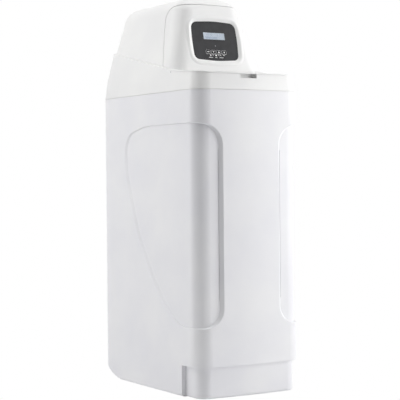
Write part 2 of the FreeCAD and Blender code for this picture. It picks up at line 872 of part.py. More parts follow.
def salt_lid():
    """Hinged lid: a sloping plate flush with the collar, a locating skirt and two hinge lugs"""
    near = cabinet_front - 60.0
    rear = deck_front_y - lid_rear_gap
    across = half_width + 20.0
    plate = side_prism([
        (near, lid_height(near), 0.0),
        (rear, lid_height(rear), lid_rear_radius),
        (rear, lid_height(rear) - lid_thickness, 0.0),
        (near, lid_height(near) - lid_thickness, 0.0),
    ], -across, across).common(collar_form(0.0))
    outer = top_prism(hatch_outline(lid_skirt_clearance), seam_height, deck_front_height)
    inner = top_prism(hatch_outline(lid_skirt_clearance + lid_skirt_thickness),
                      seam_height - 1.0, deck_front_height + 1.0)
    band = side_prism([
        (near, lid_height(near) - lid_thickness / 2, 0.0),
        (rear, lid_height(rear) - lid_thickness / 2, 0.0),
        (rear, ledge_height(rear) - lid_skirt_depth, 0.0),
        (near, ledge_height(near) - lid_skirt_depth, 0.0),
    ], -across, across)
    lid = plate.fuse(outer.cut(inner).common(band))
    for sign in (-1, 1):
        left = sign * hinge_lug_x - hinge_lug_width / 2
        lug = rod(hinge_lug_radius, left, hinge_y, hinge_height, X_AXIS, hinge_lug_width)
        neck = block(left, left + hinge_lug_width, hinge_y - hinge_lug_radius,
                     hinge_y + hinge_lug_radius - 1.0, hinge_height,
                     lid_height(hinge_y) - lid_thickness / 2)
        lid = lid.fuse(lug.fuse(neck))
        low = min(sign * (hinge_knuckle_x - hinge_knuckle_clearance), sign * across)
        length = across - hinge_knuckle_x + hinge_knuckle_clearance
        round_cut = rod(hinge_knuckle_radius + hinge_knuckle_clearance, low, hinge_y, hinge_height,
                        X_AXIS, length)
        rear_cut = block(low, low + length, hinge_y, rear + 5.0, hinge_height, deck_front_height + 5.0)
        lid = lid.cut(round_cut).cut(rear_cut).cut(hinge_bore(sign))
    return lid


def lid_hinge_pins():
    pins = []
    length = hinge_lug_width + hinge_lug_side_gap + hinge_pin_seat
    inner = hinge_lug_x - hinge_lug_width / 2
    for sign in (-1, 1):
        low = min(sign * inner, sign * (inner + length))
        pins.append(rod(hinge_pin_radius, low, hinge_y, hinge_height, X_AXIS, length))
    return Part.Compound(pins)


def dome_section(y, half, inset):
    """Front-view outline of the dome at one depth: leaning walls, round corners, flat crown"""
    low = seam_height + 20.0
    slope = dome_wall_slope
    steep = math.sqrt(1 + slope ** 2)
    half = half - inset * steep
    corner = dome_corner_radius - inset
    crown = dome_crown_radius - inset
    crown_z = dome_apex - inset - crown
    offset = half + slope * dome_reference_height - corner * steep
    a = 1 + slope ** 2
    b = -2 * (offset * slope + crown_z)
    c = offset ** 2 + crown_z ** 2 - (crown - corner) ** 2
    cz = (-b + math.sqrt(b * b - 4 * a * c)) / (2 * a)
    cx = offset - slope * cz
    wall = (cx + corner / steep, cz + corner * slope / steep)
    top = (cx * crown / (crown - corner), crown_z + (cz - crown_z) * crown / (crown - corner))
    toward = (1 / steep + (top[0] - cx) / corner, slope / steep + (top[1] - cz) / corner)
    size = math.hypot(*toward)
    mid = (cx + toward[0] / size * corner, cz + toward[1] / size * corner)
    foot = half + slope * (dome_reference_height - low)

    def p(x, z):
        return Vec(x, y, z)

    return Part.Wire([
        Part.LineSegment(p(-foot, low), p(foot, low)).toShape(),
        Part.LineSegment(p(foot, low), p(*wall)).toShape(),
        Part.Arc(p(*wall), p(*mid), p(*top)).toShape(),
        Part.Arc(p(*top), p(0, crown_z + crown), p(-top[0], top[1])).toShape(),
        Part.Arc(p(-top[0], top[1]), p(-mid[0], mid[1]), p(-wall[0], wall[1])).toShape(),
        Part.LineSegment(p(-wall[0], wall[1]), p(-foot, low)).toShape(),
    ])


def dome_form(inset):
    """Closed form of the dome, set in from its outer surface"""
    lean = math.radians(panel_lean)
    low = seam_height - 10.0
    high = dome_apex + 60.0
    shift = inset / math.cos(lean)
    front_low = panel_centre_y + (low - panel_centre_height) * math.tan(lean) + shift
    front_high = panel_centre_y + (high - panel_centre_height) * math.tan(lean) + shift
    back_shift = inset * math.sqrt(1 + dome_rear_slope ** 2)
    loft = Part.makeLoft([
        dome_section(dome_front_section_y, dome_front_half, inset),
        dome_section(dome_rear_section_y, dome_rear_half, inset),
    ], True, True)
    profile = side_prism([
        (front_low, low, 0.0),
        (front_high, high, 0.0),
        (rear_plane_y(high) - back_shift, high, 0.0),
        (rear_plane_y(low) - back_shift, low, 0.0),
    ], -half_width - 40.0, half_width + 40.0)
    form = loft.common(profile)
    form = rounded_end(form, dome_front_fillet - inset, front_low, front_high, low, high)
    return rounded_end(form, dome_rear_fillet - inset, rear_plane_y(low) - back_shift,
                       rear_plane_y(high) - back_shift, low, high)


def rounded_end(form, radius, low_y, high_y, low, high):
    """Round the edges where the dome meets one of its end planes"""
    chosen = []
    for edge in form.Edges:
        middle = edge.valueAt((edge.FirstParameter + edge.LastParameter) / 2)
        plane_y = low_y + (high_y - low_y) * (middle.z - low) / (high - low)
        if abs(middle.y - plane_y) < 0.01 and middle.z > seam_height + 21.0:
            chosen.append(edge)
    return form.makeFillet(radius, chosen)


def above_deck(gap):
    near = cabinet_front - 60.0
    far = cabinet_back + 60.0
    high = dome_apex + 100.0
    return side_prism([
        (near, deck_height(near) + gap, 0.0),
        (far, deck_height(far) + gap, 0.0),
        (far, high, 0.0),
        (near, high, 0.0),
    ], -half_width - 50.0, half_width + 50.0)


def before_seam(shift):
    """Everything on the fascia's side of its seam with the hood, grown by a shift"""
    near = cabinet_front - 60.0
    across = half_width + 45.0
    outline = [(near, fascia_seam[0][1], 0.0)] + fascia_seam + [(near, fascia_seam[-1][1], 0.0)]
    wire = rounded_path(outline, lambda a, b: Vec(-across, a, b)).makeOffset2D(shift)
    return Part.Face(wire).extrude(Vec(2 * across, 0, 0))


def valve_hood(forms):
    """Rear hood: one wall thick, with a lip under the fascia and a flange on the deck"""
    room = above_deck(dome_deck_gap)
    shell = forms["outer"].cut(forms["inner"]).cut(before_seam(fascia_seam_gap / 2))
    back = before_seam(fascia_lip_overlap)
    lip = forms["lip_outer"].cut(forms["lip_inner"])
    lip = lip.common(back.cut(before_seam(-fascia_lip_reach)))
    bridge = forms["bridge"].cut(forms["lip_inner"])
    bridge = bridge.common(back.cut(before_seam(fascia_seam_gap / 2)))
    flange = forms["bridge"].cut(forms["flange_inner"]).cut(back)
    flange = flange.cut(above_deck(dome_deck_gap + hood_flange_thickness))
    hood = shell.fuse([lip, bridge, flange]).common(room)
    for sign in (-1, 1):
        x = sign * hood_screw_x
        clear = block(x - hood_tab_width / 2 - 1.0, x + hood_tab_width / 2 + 1.0,
                      rear_plane_y(hood_screw_height) - hood_wall - hood_tab_thickness - 8.0,
                      rear_plane_y(hood_screw_height) + 20.0, deck_height(0.0), hood_screw_height + 20.0)
        hood = hood.cut(clear.common(forms["inner"])).cut(hood_screw_hole(x))
    return hood


def control_fascia(forms):
    """Front of the dome with the leaning pocket for the control panel"""
    room = above_deck(dome_deck_gap).common(before_seam(-fascia_seam_gap / 2))
    shell = forms["outer"].cut(forms["inner"]).common(room)
    flange = forms["bridge"].cut(forms["flange_inner"])
    flange = flange.common(before_seam(-fascia_lip_reach - 1.0)).common(room)
    flange = flange.cut(above_deck(dome_deck_gap + hood_flange_thickness))
    depth = pocket_depth + pocket_floor
    pad = panel_prism(pocket_pad_margin, -depth, -1.0).common(forms["outer"])
    fascia = shell.fuse([flange, pad])
    dish = panel_dish()
    fascia = fascia.cut(dish)
    fascia = fascia.makeFillet(dish_edge_radius, edges_between(fascia, dish, forms["outer"]))
    fascia = fascia.cut(panel_prism(0.0, -pocket_depth, 20.0))
    for cut in panel_cuts(-depth - 5.0, 1.0):
        fascia = fascia.cut(cut)
    posts = []
    for x, y in board_places():
        post = rod(board_post_radius, x, y, -board_depth, Z_AXIS, board_depth - depth + 0.5)
        hole = rod(board_screw_radius + fit_clearance / 2, x, y, -board_depth - 1.0, Z_AXIS,
                   board_screw_reach + 1.0)
        posts.append(on_panel(post.cut(hole)))
    return fascia.fuse(posts)


def edges_between(form, first, second):
    """Edges of a form that lie on the skins of two other forms"""
    found = []
    for edge in form.Edges:
        middle = Part.Vertex(edge.valueAt((edge.FirstParameter + edge.LastParameter) / 2))
        if all(other.Shells[0].distToShape(middle)[0] < 0.01 for other in (first, second)):
            found.append(edge)
    return found


def panel_dish():
    """Cutter for the soft surround, which slopes down to a ledge round the panel"""
    slope = (dish_width - dish_ledge) / dish_depth
    wires = []
    for w, grow in ((-dish_depth, dish_ledge), (dish_rise, dish_width + slope * dish_rise)):
        wires.append(rounded_path(panel_outline(grow), lambda a, b: Vec(a, b, w)))
    return on_panel(Part.makeLoft(wires, True, True))


def on_panel(shape):
    """Move a shape from the panel's own frame into place"""
    place = FreeCAD.Placement(Vec(0, panel_centre_y, panel_centre_height),
                              FreeCAD.Rotation(X_AXIS, 90.0 - panel_lean))
    moved = shape.copy()
    moved.Placement = place.multiply(moved.Placement)
    return moved


def panel_outline(grow):
    w = panel_half_width + grow
    h = panel_half_height + grow
    return [
        (-w, -h, panel_bottom_radius + grow),
        (0.0, -h - panel_end_bow, panel_bow_radius),
        (w, -h, panel_bottom_radius + grow),
        (w + panel_side_bow, 0.0, panel_bow_radius),
        (w, h, panel_top_radius + grow),
        (0.0, h + panel_end_bow, panel_bow_radius),
        (-w, h, panel_top_radius + grow),
        (-w - panel_side_bow, 0.0, panel_bow_radius),
    ]


def panel_prism(grow, w0, w1):
    return on_panel(top_prism(panel_outline(grow), w0, w1))


def rounded_block(x, y, width, height, radius, w0, w1):
    a = width / 2
    b = height / 2
    return top_prism([
        (x - a, y - b, radius),
        (x + a, y - b, radius),
        (x + a, y + b, radius),
        (x - a, y + b, radius),
    ], w0, w1)


def key_places():
    return [(step * key_pitch, key_offset) for step in (-1.5, -0.5, 0.5, 1.5)]


def board_places():
    x = board_width / 2 - board_post_inset
    y = board_height / 2 - board_post_inset
    return [(sx * x, board_offset + sy * y) for sx in (-1, 1) for sy in (-1, 1)]


def panel_cuts(w0, w1):
    """Openings for the display window and the keys"""
    cuts = [on_panel(rounded_block(0, display_offset, display_width, display_height,
                                   display_corner_radius, w0, w1))]
    for x, y in key_places():
        cuts.append(on_panel(rounded_block(x, y, key_width + 2 * key_clearance,
                                           key_height + 2 * key_clearance,
                                           key_corner_radius + key_clearance, w0, w1)))
    return cuts


def panel_overlay():
    overlay = panel_prism(-pocket_clearance, -pocket_depth, -pocket_depth + overlay_thickness)
    for cut in panel_cuts(-pocket_depth - 1.0, 0.0):
        overlay = overlay.cut(cut)
    return overlay


def display_window():
    back = -pocket_depth - pocket_floor
    front = -pocket_depth + overlay_thickness - window_recess
    pane = rounded_block(0, display_offset, display_width - 2 * window_clearance,
                         display_height - 2 * window_clearance, display_corner_radius, back, front)
    rim = rounded_block(0, display_offset, display_width + 4.0, display_height + 4.0,
                        display_corner_radius, back - 1.0, back)
    return on_panel(pane.fuse(rim))


def display_module():
    back = -board_depth
    front = -pocket_depth - pocket_floor - 1.0 - module_gap
    return on_panel(rounded_block(0, display_offset, module_width, module_height, 1.0, back, front))


def key_cap(x, y):
    top = -pocket_depth + overlay_thickness + key_proud
    seat = -pocket_depth - pocket_floor - key_seat_gap
    foot = -board_depth + switch_height + switch_gap + key_travel
    cap = rounded_block(x, y, key_width, key_height, key_corner_radius, foot, top)
    crown = [e for e in cap.Edges if e.BoundBox.ZMin > top - 0.01]
    cap = cap.makeFillet(key_proud * 0.8, crown)
    flange = rounded_block(x, y, key_width + 2 * key_flange, key_height + 2 * key_flange,
                           key_corner_radius, seat - key_flange_thickness, seat)
    return on_panel(cap.fuse(flange))


def controller_board():
    back = -board_depth - board_thickness
    board = rounded_block(0, board_offset, board_width, board_height, 3.0, back, -board_depth)
    for x, y in board_places():
        board = board.cut(rod(board_screw_radius + fit_clearance, x, y, back - 1.0, Z_AXIS, 5.0))
    for x, y in key_places():
        half = switch_size / 2
        board = board.fuse(block(x - half, x + half, y - half, y + half, -board_depth - 0.5,
                                 -board_depth + switch_height))
    chip = block(-16.0, 16.0, 4.0, 30.0, back - 3.0, back + 0.5)
    plug = block(20.0, 52.0, -30.0, -20.0, back - 9.0, back + 0.5)
    return on_panel(board.fuse([chip, plug]))


def board_screws():
    screws = []
    back = -board_depth - board_thickness
    for x, y in board_places():
        head = rod(board_screw_head_radius, x, y, back - board_screw_head_height, Z_AXIS,
                   board_screw_head_height)
        shank = rod(board_screw_radius, x, y, back, Z_AXIS, board_screw_reach)
        screws.append(on_panel(head.fuse(shank)))
    return Part.Compound(screws)


def vessel_profile(inset, neck):
    """Corners of the vessel's outline, as (radius, height, corner radius)"""
    base = pad_height + boot_base
    top = base + vessel_height
    return [
        (0.0, base + inset, 0.0),
        (vessel_radius - inset, base + inset, vessel_bottom_radius - inset),
        (vessel_radius - inset, top - vessel_shoulder_drop - inset, vessel_shoulder_radius - inset),
        (neck, top - neck_height - inset, neck_fillet),
        (neck, top + (1.0 if inset else 0.0), 0.0),
        (0.0, top + (1.0 if inset else 0.0), 0.0),
    ]


def vessel_top():
    return pad_height + boot_base + vessel_height


def pressure_vessel():
    outer = revolve_profile(vessel_profile(0.0, neck_radius), 0.0, vessel_y)
    inner = revolve_profile(vessel_profile(vessel_wall, neck_bore), 0.0, vessel_y)
    return outer.cut(inner)


def vessel_boot():
    boot = rod(boot_radius, 0, vessel_y, pad_height, Z_AXIS, boot_height)
    foot = [e for e in boot.Edges if e.BoundBox.ZMax < pad_height + 0.01]
    boot = boot.makeChamfer(boot_chamfer, foot)
    seat = revolve_profile(vessel_profile(0.0, neck_radius), 0.0, vessel_y)
    clear = revolve_profile(grown_bottom(boot_clearance), 0.0, vessel_y)
    return boot.cut(clear).cut(seat)


def grown_bottom(clearance):
    """Vessel bottom with room round its side, but not under its flat foot"""
    base = pad_height + boot_base
    return [
        (0.0, base, 0.0),
        (vessel_radius + clearance, base, vessel_bottom_radius + clearance),
        (vessel_radius + clearance, base + boot_height + 10.0, 0.0),
        (0.0, base + boot_height + 10.0, 0.0),
    ]


def resin_bed():
    gap = vessel_wall + resin_clearance
    base = pad_height + boot_base
    bed = revolve_profile([
        (0.0, base + gap, 0.0),
        (vessel_radius - gap, base + gap, vessel_bottom_radius - gap),
        (vessel_radius - gap, base + resin_fill_height, 0.0),
        (0.0, base + resin_fill_height, 0.0),
    ], 0.0, vessel_y)
    riser = rod(riser_radius + resin_clearance, 0, vessel_y, base, Z_AXIS, vessel_height)
    basket = rod(bottom_strainer_radius + resin_clearance, 0, vessel_y, base, Z_AXIS,
                 strainer_base() - base + bottom_strainer_height + resin_clearance)
    return bed.cut(riser.fuse(basket))


def strainer_base():
    return pad_height + boot_base + vessel_wall


def riser_tube():
    low = strainer_base() + bottom_strainer_lift
    high = vessel_top() - 4.0
    return tube(riser_radius, riser_radius - riser_wall, 0, vessel_y, low, Z_AXIS, high - low)


def bottom_strainer():
    base = strainer_base()
    basket = rod(bottom_strainer_radius, 0, vessel_y, base, Z_AXIS, bottom_strainer_height)
    socket = rod(riser_radius + riser_clearance / 2, 0, vessel_y, base + bottom_strainer_lift, Z_AXIS,
                 bottom_strainer_height)
    well = rod(riser_radius - riser_wall, 0, vessel_y, base + 2.0, Z_AXIS, bottom_strainer_height)
    for step in range(6):
        height = base + 14.0 + step * 9.0
        basket = basket.cut(tube(bottom_strainer_radius + 2.0, bottom_strainer_radius - 2.0,
                                 0, vessel_y, height, Z_AXIS, 3.0))
    return basket.cut(socket).cut(well)


def top_strainer():
    top = vessel_top() - valve_spigot_length
    cup = rod(top_strainer_radius, 0, vessel_y, top - top_strainer_height, Z_AXIS, top_strainer_height)
    for step in range(5):
        height = top - 12.0 - step * 9.0
        cup = cup.cut(tube(top_strainer_radius + 2.0, top_strainer_radius - 2.0,
                           0, vessel_y, height, Z_AXIS, 3.0))
    return cup.cut(rod(riser_radius + riser_clearance, 0, vessel_y, top - top_strainer_height - 1.0,
                       Z_AXIS, top_strainer_height + 2.0))


def vessel_o_ring():
    ring = Part.makeTorus(o_ring_radius, o_ring_section, Vec(0, vessel_y, vessel_top() + o_ring_section))
    return ring


def pinion_place():
    distance = gear_module * (gear_teeth + pinion_teeth) / 2
    angle = math.radians(pinion_angle)
    return distance * math.cos(angle), head_height + distance * math.sin(angle)


def gear_plate_outline(grow):
    """Outline of the plate and cover round both gears, seen from the front"""
    px, pz = pinion_place()
    big = gear_module * gear_teeth / 2 + gear_cover_margin + grow
    small = gear_module * pinion_teeth / 2 + gear_cover_margin + grow
    radius = plate_corner_radius + grow
    return [
        (-big, head_height - big, radius),
        (big, head_height - big, radius),
        (px + small, head_height + big * 0.3, radius / 2),
        (px + small, pz + small, radius),
        (-big, pz + small, radius),
    ]


def valve_body():
    top = vessel_top()
    axis_y = vessel_y
    flange = rod(valve_flange_radius, 0, axis_y, top, Z_AXIS, valve_flange_height)
    rim = [e for e in flange.Edges if e.BoundBox.ZMin > top + 1.0 and e.Closed
           and len(e.Vertexes) == 1]
    flange = flange.makeFillet(3.0, rim)
    spigot = rod(neck_bore - valve_spigot_clearance, 0, axis_y, top - valve_spigot_length, Z_AXIS,
                 valve_spigot_length + 1.0)
    core = rod(valve_core_radius, 0, axis_y, top + valve_flange_height - 1.0, Z_AXIS,
               head_height + head_radius - top - valve_flange_height + 1.0)
    head = rod(head_radius, 0, head_front_y, head_height, Y_AXIS, axis_y - head_front_y)
    body = flange.fuse([spigot, core, head])
    for sign in (-1, 1):
        body = body.fuse(rod(port_radius, sign * port_x, axis_y, port_height, Y_AXIS,
                             port_reach - axis_y))
    body = body.fuse(rod(injector_radius, 0, injector_y, injector_height, X_AXIS * -1,
                         injector_reach))
    body = body.fuse(rod(side_boss_radius, 0, drain_y - 12.0, drain_height, X_AXIS * -1,
                         side_boss_reach))
    body = body.fuse(rod(side_boss_radius * 0.75, 0, brine_boss_y, brine_boss_height, X_AXIS,
                         side_boss_reach - brine_nut_length))
    plate = front_prism(gear_plate_outline(0.0), head_front_y - gear_plate_thickness,
                        head_front_y)
    body = body.fuse(plate)
    for sign in (-1, 1):
        body = body.cut(rod(port_bore, sign * port_x, axis_y + 10.0, port_height, Y_AXIS,
                            port_reach - axis_y))
    chamber = rod(disc_radius + fit_clearance, 0, head_front_y, head_height, Y_AXIS, chamber_depth())
    socket = rod(riser_radius + riser_clearance, 0, axis_y, top - valve_spigot_length - 1.0, Z_AXIS,
                 valve_spigot_length - 1.0)
    shaft = rod(shaft_radius + shaft_clearance, 0, head_front_y - 10.0, head_height, Y_AXIS, 20.0)
    px, pz = pinion_place()
    pinion_hole = rod(motor_shaft_radius + running_clearance, px, head_front_y - 10.0, pz, Y_AXIS, 20.0)
    groove = tube(o_ring_radius + o_ring_section + o_ring_groove_clearance,
                  o_ring_radius - o_ring_section - o_ring_groove_clearance, 0, axis_y, top - 1.0,
                  Z_AXIS, 2 * o_ring_section + o_ring_groove_clearance + 1.0)
    return body.cut(chamber).cut(socket).cut(shaft).cut(pinion_hole).cut(groove)


def chamber_depth():
    return disc_back_y + disc_thickness + disc_gap + disc_thickness - head_front_y


def moving_disc():
    disc = rod(disc_radius, 0, disc_back_y, head_height, Y_AXIS, disc_thickness)
    port = rod(8.0, 14.0, disc_back_y - 1.0, head_height, Y_AXIS, disc_thickness + 2.0)
    return disc.cut(port)


def fixed_disc():
    disc = rod(disc_radius, 0, disc_back_y + disc_thickness + disc_gap, head_height, Y_AXIS,
               disc_thickness)
    for step in range(5):
        angle = math.radians(72.0 * step)
        disc = disc.cut(rod(5.0, 15.0 * math.cos(angle), disc_back_y,
                            head_height + 15.0 * math.sin(angle), Y_AXIS, 4 * disc_thickness))
    return disc


def gear_wheel(teeth, x, y, z, face, turn):
    """Spur gear with straight-flanked teeth, its axis along the depth"""
    pitch = gear_module * teeth / 2
    root = pitch - tooth_dedendum * gear_module
    tip = pitch + tooth_addendum * gear_module
    half_root = math.pi * gear_module * tooth_share * 0.72
    half_tip = math.pi * gear_module * tooth_share * 0.30
    wheel = rod(root, x, y, z, Y_AXIS, face)
    blanks = []
    for index in range(teeth):
        tooth = Part.makePolygon([
            Vec(root - 1.0, 0, -half_root),
            Vec(tip, 0, -half_tip),
            Vec(tip, 0, half_tip),
            Vec(root - 1.0, 0, half_root),
            Vec(root - 1.0, 0, -half_root),
        ])
        solid = Part.Face(tooth).extrude(Vec(0, face, 0))
        solid.rotate(Vec(0, 0, 0), Y_AXIS, -turn - 360.0 * index / teeth)
        solid.translate(Vec(x, y, z))
        blanks.append(solid)
    return wheel.fuse(blanks)


def main_gear():
    wheel = gear_wheel(gear_teeth, 0.0, gear_front_y, head_height, gear_face, pinion_angle)
    reach = disc_back_y - gear_front_y
    shaft = rod(shaft_radius, 0, gear_front_y, head_height, Y_AXIS, reach)
    hub = rod(gear_hub_radius, 0, gear_front_y, head_height, Y_AXIS, gear_face + 2.0)
    pivot = rod(pivot_radius, 0, gear_front_y - pivot_length, head_height, Y_AXIS, pivot_length + 1.0)
    wheel = wheel.fuse([shaft, hub, pivot])
    web = tube(gear_module * gear_teeth / 2 - 9.0, gear_hub_radius + 4.0, 0,
               gear_front_y - 1.0, head_height, Y_AXIS, 4.0)
    return wheel.cut(web)


def drive_pinion():
    px, pz = pinion_place()
    wheel = gear_wheel(pinion_teeth, px, gear_front_y - 1.0, pz, pinion_face,
                       pinion_angle + 180.0 + 180.0 / pinion_teeth)
    reach = head_front_y + motor_length / 3 - gear_front_y
    return wheel.fuse(rod(motor_shaft_radius, px, gear_front_y - 1.0, pz, Y_AXIS, reach + 1.0))


def drive_motor():
    px, pz = pinion_place()
    motor = rod(motor_radius, px, head_front_y, pz, Y_AXIS, motor_length)
    back = [e for e in motor.Edges if e.BoundBox.YMin > head_front_y + 1.0 and e.Closed
            and len(e.Vertexes) == 1]
    motor = motor.makeFillet(3.0, back)
    return motor.cut(rod(motor_shaft_radius + running_clearance, px, head_front_y - 1.0, pz, Y_AXIS,
                         motor_length / 3 + 2.0))


def gear_cover():
    back = head_front_y - gear_plate_thickness
    front = back - gear_cover_depth
    cover = front_prism(gear_plate_outline(0.0), front, back)
    cover = cover.cut(front_prism(gear_plate_outline(-gear_cover_wall), front + gear_cover_wall,
                                  back + 1.0))
    boss = rod(pivot_radius + 4.0, 0, front, head_height, Y_AXIS, gear_front_y - 1.0 - front)
    return cover.fuse(boss).cut(rod(pivot_radius + running_clearance, 0, front + 1.2, head_height,
                                    Y_AXIS, gear_cover_depth))


def injector_cap():
    cap = rod(injector_cap_radius, -injector_reach, injector_y, injector_height, X_AXIS * -1,
              injector_cap_length)
    outer = [e for e in cap.Edges if e.BoundBox.XMax < -injector_reach - 1.0 and e.Closed
             and len(e.Vertexes) == 1]
    cap = cap.makeFillet(2.0, outer)
    slot = block(-injector_reach - injector_cap_length - 1.0, -injector_reach - injector_cap_length + 3.0,
                 injector_y - 12.0, injector_y + 12.0, injector_height - 1.5, injector_height + 1.5)
    return cap.cut(slot)


def hexagon(radius, x, y, z, direction, length):
    """Hexagonal nut blank, its size measured across the corners"""
    points = []
    for step in range(7):
        angle = math.radians(60.0 * step)
        along = radius * math.cos(angle)
        up = radius * math.sin(angle)
        if direction.y:
            points.append(Vec(x + along, y, z - up * direction.y))
        else:
            points.append(Vec(x, y + along, z + up * direction.x))
    return Part.Face(Part.makePolygon(points)).extrude(direction * length)


def drain_fitting():
    start = -side_boss_reach
    y = drain_y - 12.0
    nut = hexagon(drain_nut_radius, start, y, drain_height, X_AXIS * -1, drain_nut_length)
    knuckle = rod(drain_elbow_radius, start - drain_nut_length + 1.0, y, drain_height, X_AXIS * -1,
                  drain_x + drain_elbow_radius - side_boss_reach - drain_nut_length + 1.0)
    neck = rod(drain_neck_radius, -drain_x, y, drain_height, Y_AXIS, pipe_end_y - y)
    spigot = rod(drain_tube_radius, -drain_x, pipe_end_y - drain_spigot_length, drain_height, Y_AXIS,
                 drain_spigot_length)
    fitting = nut.fuse([knuckle, neck, spigot])
    return fitting.cut(rod(drain_bore, -drain_x, y, drain_height, Y_AXIS, pipe_end_y - y + 1.0))


def brine_fitting():
    start = side_boss_reach - brine_nut_length
    nut = hexagon(brine_nut_radius + 2.0, start, brine_boss_y, brine_boss_height, X_AXIS,
                  brine_nut_length)
    knuckle = rod(brine_nut_radius, side_boss_reach - 1.0, brine_boss_y, brine_boss_height, X_AXIS,
                  brine_elbow_x + brine_nut_radius - side_boss_reach + 1.0)
    spout = rod(brine_spout_radius, brine_elbow_x, brine_boss_y, brine_boss_height, Y_AXIS * -1,
                brine_boss_y - brine_spout_y)
    return nut.fuse([knuckle, spout])


def brine_line():
    """Tube from the valve to the float valve: straight runs joined by tangent arcs"""
    route = [Vec(brine_elbow_x, brine_spout_y, brine_boss_height)]
    for x, y, z in brine_line_turns:
        route.append(Vec(x, y, z))
    seat = brine_valve_bottom + brine_valve_height + brine_line_end_gap
    route.append(Vec(pickup_x, well_y, seat + brine_line_drop))
    route.append(Vec(pickup_x, well_y, seat))
    edges = []
    here = route[0]
    for index in range(1, len(route) - 1):
        before = (route[index] - route[index - 1])
        after = (route[index + 1] - route[index])
        shorter = min(before.Length, after.Length)
        u = Vec(before).normalize()
        v = Vec(after).normalize()
        turn = u.getAngle(v)
        reach = 0.45 * shorter
        radius = reach / math.tan(turn / 2)
        start = route[index] - u * reach
        end = route[index] + v * reach
        inward = (v - u).normalize()
        depth = radius / math.cos(turn / 2) - radius
        print("brine line radius", round(radius, 1))
        edges.append(Part.LineSegment(here, start).toShape())
        edges.append(Part.Arc(start, route[index] + inward * depth, end).toShape())
        here = end
    edges.append(Part.LineSegment(here, route[-1]).toShape())
    path = Part.Wire(edges)
    ends = []
    for radius in (brine_tube_radius, brine_tube_bore):
        circle = Part.Wire(Part.makeCircle(radius, route[0], Y_AXIS * -1))
        ends.append(path.makePipeShell([circle], True, False))
    line = ends[0].cut(ends[1])
    share = line.Volume / (math.pi * (brine_tube_radius ** 2 - brine_tube_bore ** 2) * path.Length)
    print("brine line length", round(path.Length), "volume share", round(share, 4))
    return line


def bypass_body():
    """Twin barrels with a cross passage and a rotor housing on each"""
    parts = []
    middle = bypass_start_y + bypass_length / 2
    for sign in (-1, 1):
        parts.append(rod(bypass_barrel_radius, sign * port_x, bypass_start_y, port_height, Y_AXIS,
                         bypass_length))
        parts.append(rod(bypass_boss_radius, sign * port_x, middle, port_height, Z_AXIS,
                         bypass_boss_height))
    cross = rod(bypass_cross_radius, -port_x, middle, port_height, X_AXIS, 2 * port_x)
    body = parts[0].fuse(parts[1:] + [cross])
    for sign in (-1, 1):
        body = body.cut(rod(port_bore, sign * port_x, bypass_start_y - 1.0, port_height, Y_AXIS,
                            bypass_length + 2.0))
        body = body.cut(rod(rotor_radius + rotor_clearance, sign * port_x, middle,
                            port_height - bypass_barrel_radius + 4.0, Z_AXIS, 100.0))
    return body


def bypass_knob(sign):
    """Rotor with its through hole, and the bar handle on top"""
    middle = bypass_start_y + bypass_length / 2
    x = sign * port_x
    low = port_height - bypass_barrel_radius + 4.3
    top = port_height + bypass_boss_height + knob_gap
    rotor = rod(rotor_radius, x, middle, low, Z_AXIS, top - low + 1.0)
    disc = rod(bypass_boss_radius, x, middle, top, Z_AXIS, knob_height / 3)
    rim = [e for e in disc.Edges if e.BoundBox.ZMin > top + 1.0 and e.Closed and len(e.Vertexes) == 1]
    disc = disc.makeFillet(1.5, rim)
    a = knob_width / 2
    b = knob_length / 2
    bar = top_prism([
        (x - a, middle - b, 5.0),
        (x + a, middle - b, 5.0),
        (x + a, middle + b, 5.0),
        (x - a, middle + b, 5.0),
    ], top + 1.0, top + knob_height)
    upper = [e for e in bar.Edges if e.BoundBox.ZMin > top + knob_height - 0.01]
    bar = bar.makeFillet(2.0, upper)
    passage = rod(rotor_radius * 0.7, x, middle - 20.0, port_height, Y_AXIS, 40.0)
    return rotor.cut(passage).fuse([disc, bar])


def connector(sign):
    """Flanged tail piece that leaves through the back, threaded for a pipe"""
    x = sign * port_x
    start = bypass_start_y + bypass_length + connector_gap
    body = rod(connector_flange_radius, x, start, port_height, Y_AXIS, connector_flange)
    body = body.fuse(rod(connector_barrel_radius, x, start, port_height, Y_AXIS, pipe_end_y - start))
    body = body.fuse(rod(connector_thread_radius, x, pipe_end_y - connector_thread_length, port_height,
                         Y_AXIS, connector_thread_length))
    tip = [e for e in body.Edges if e.BoundBox.YMin > pipe_end_y - 0.01]
    body = body.makeChamfer(1.0, tip)
    return body.cut(rod(port_bore, x, start - 1.0, port_height, Y_AXIS, pipe_end_y - start + 2.0))


def union_nut(sign):
    x = sign * port_x
    start = bypass_start_y + bypass_length + connector_gap + connector_flange + connector_gap
    nut = hexagon(union_nut_radius, x, start, port_height, Y_AXIS, union_nut_length)
    return nut.cut(rod(connector_barrel_radius + union_nut_clearance, x, start - 1.0, port_height, Y_AXIS,
                       union_nut_length + 2.0))


def port_clips():
    """Split rings that lock the bypass to the two ports of the valve"""
    clips = []
    for sign in (-1, 1):
        x = sign * port_x
        bore = port_radius + clip_clearance
        start = port_reach - clip_width - 0.3
        ring = tube(bore + clip_thickness, bore, x, start, port_height, Y_AXIS, clip_width)
        gap = block(x - port_radius * 0.6, x + port_radius * 0.6, start - 1.0, port_reach + 1.0,
                    port_height - 2 * port_radius, port_height)
        clips.append(ring.cut(gap))
    return Part.Compound(clips)


def brine_well():
    well = tube(well_radius, well_radius - well_wall, well_x, well_y, cabinet_wall, Z_AXIS,
                well_top - cabinet_wall)
    for step in range(2):
        slot = block(-well_radius - 5.0, well_radius + 5.0, -well_slot_width / 2, well_slot_width / 2,
                     cabinet_wall - 1.0, cabinet_wall + well_slot_height)
        slot.rotate(Vec(0, 0, 0), Z_AXIS, 45.0 + 90.0 * step)
        slot.translate(Vec(well_x, well_y, 0))
        well = well.cut(slot)
    return well


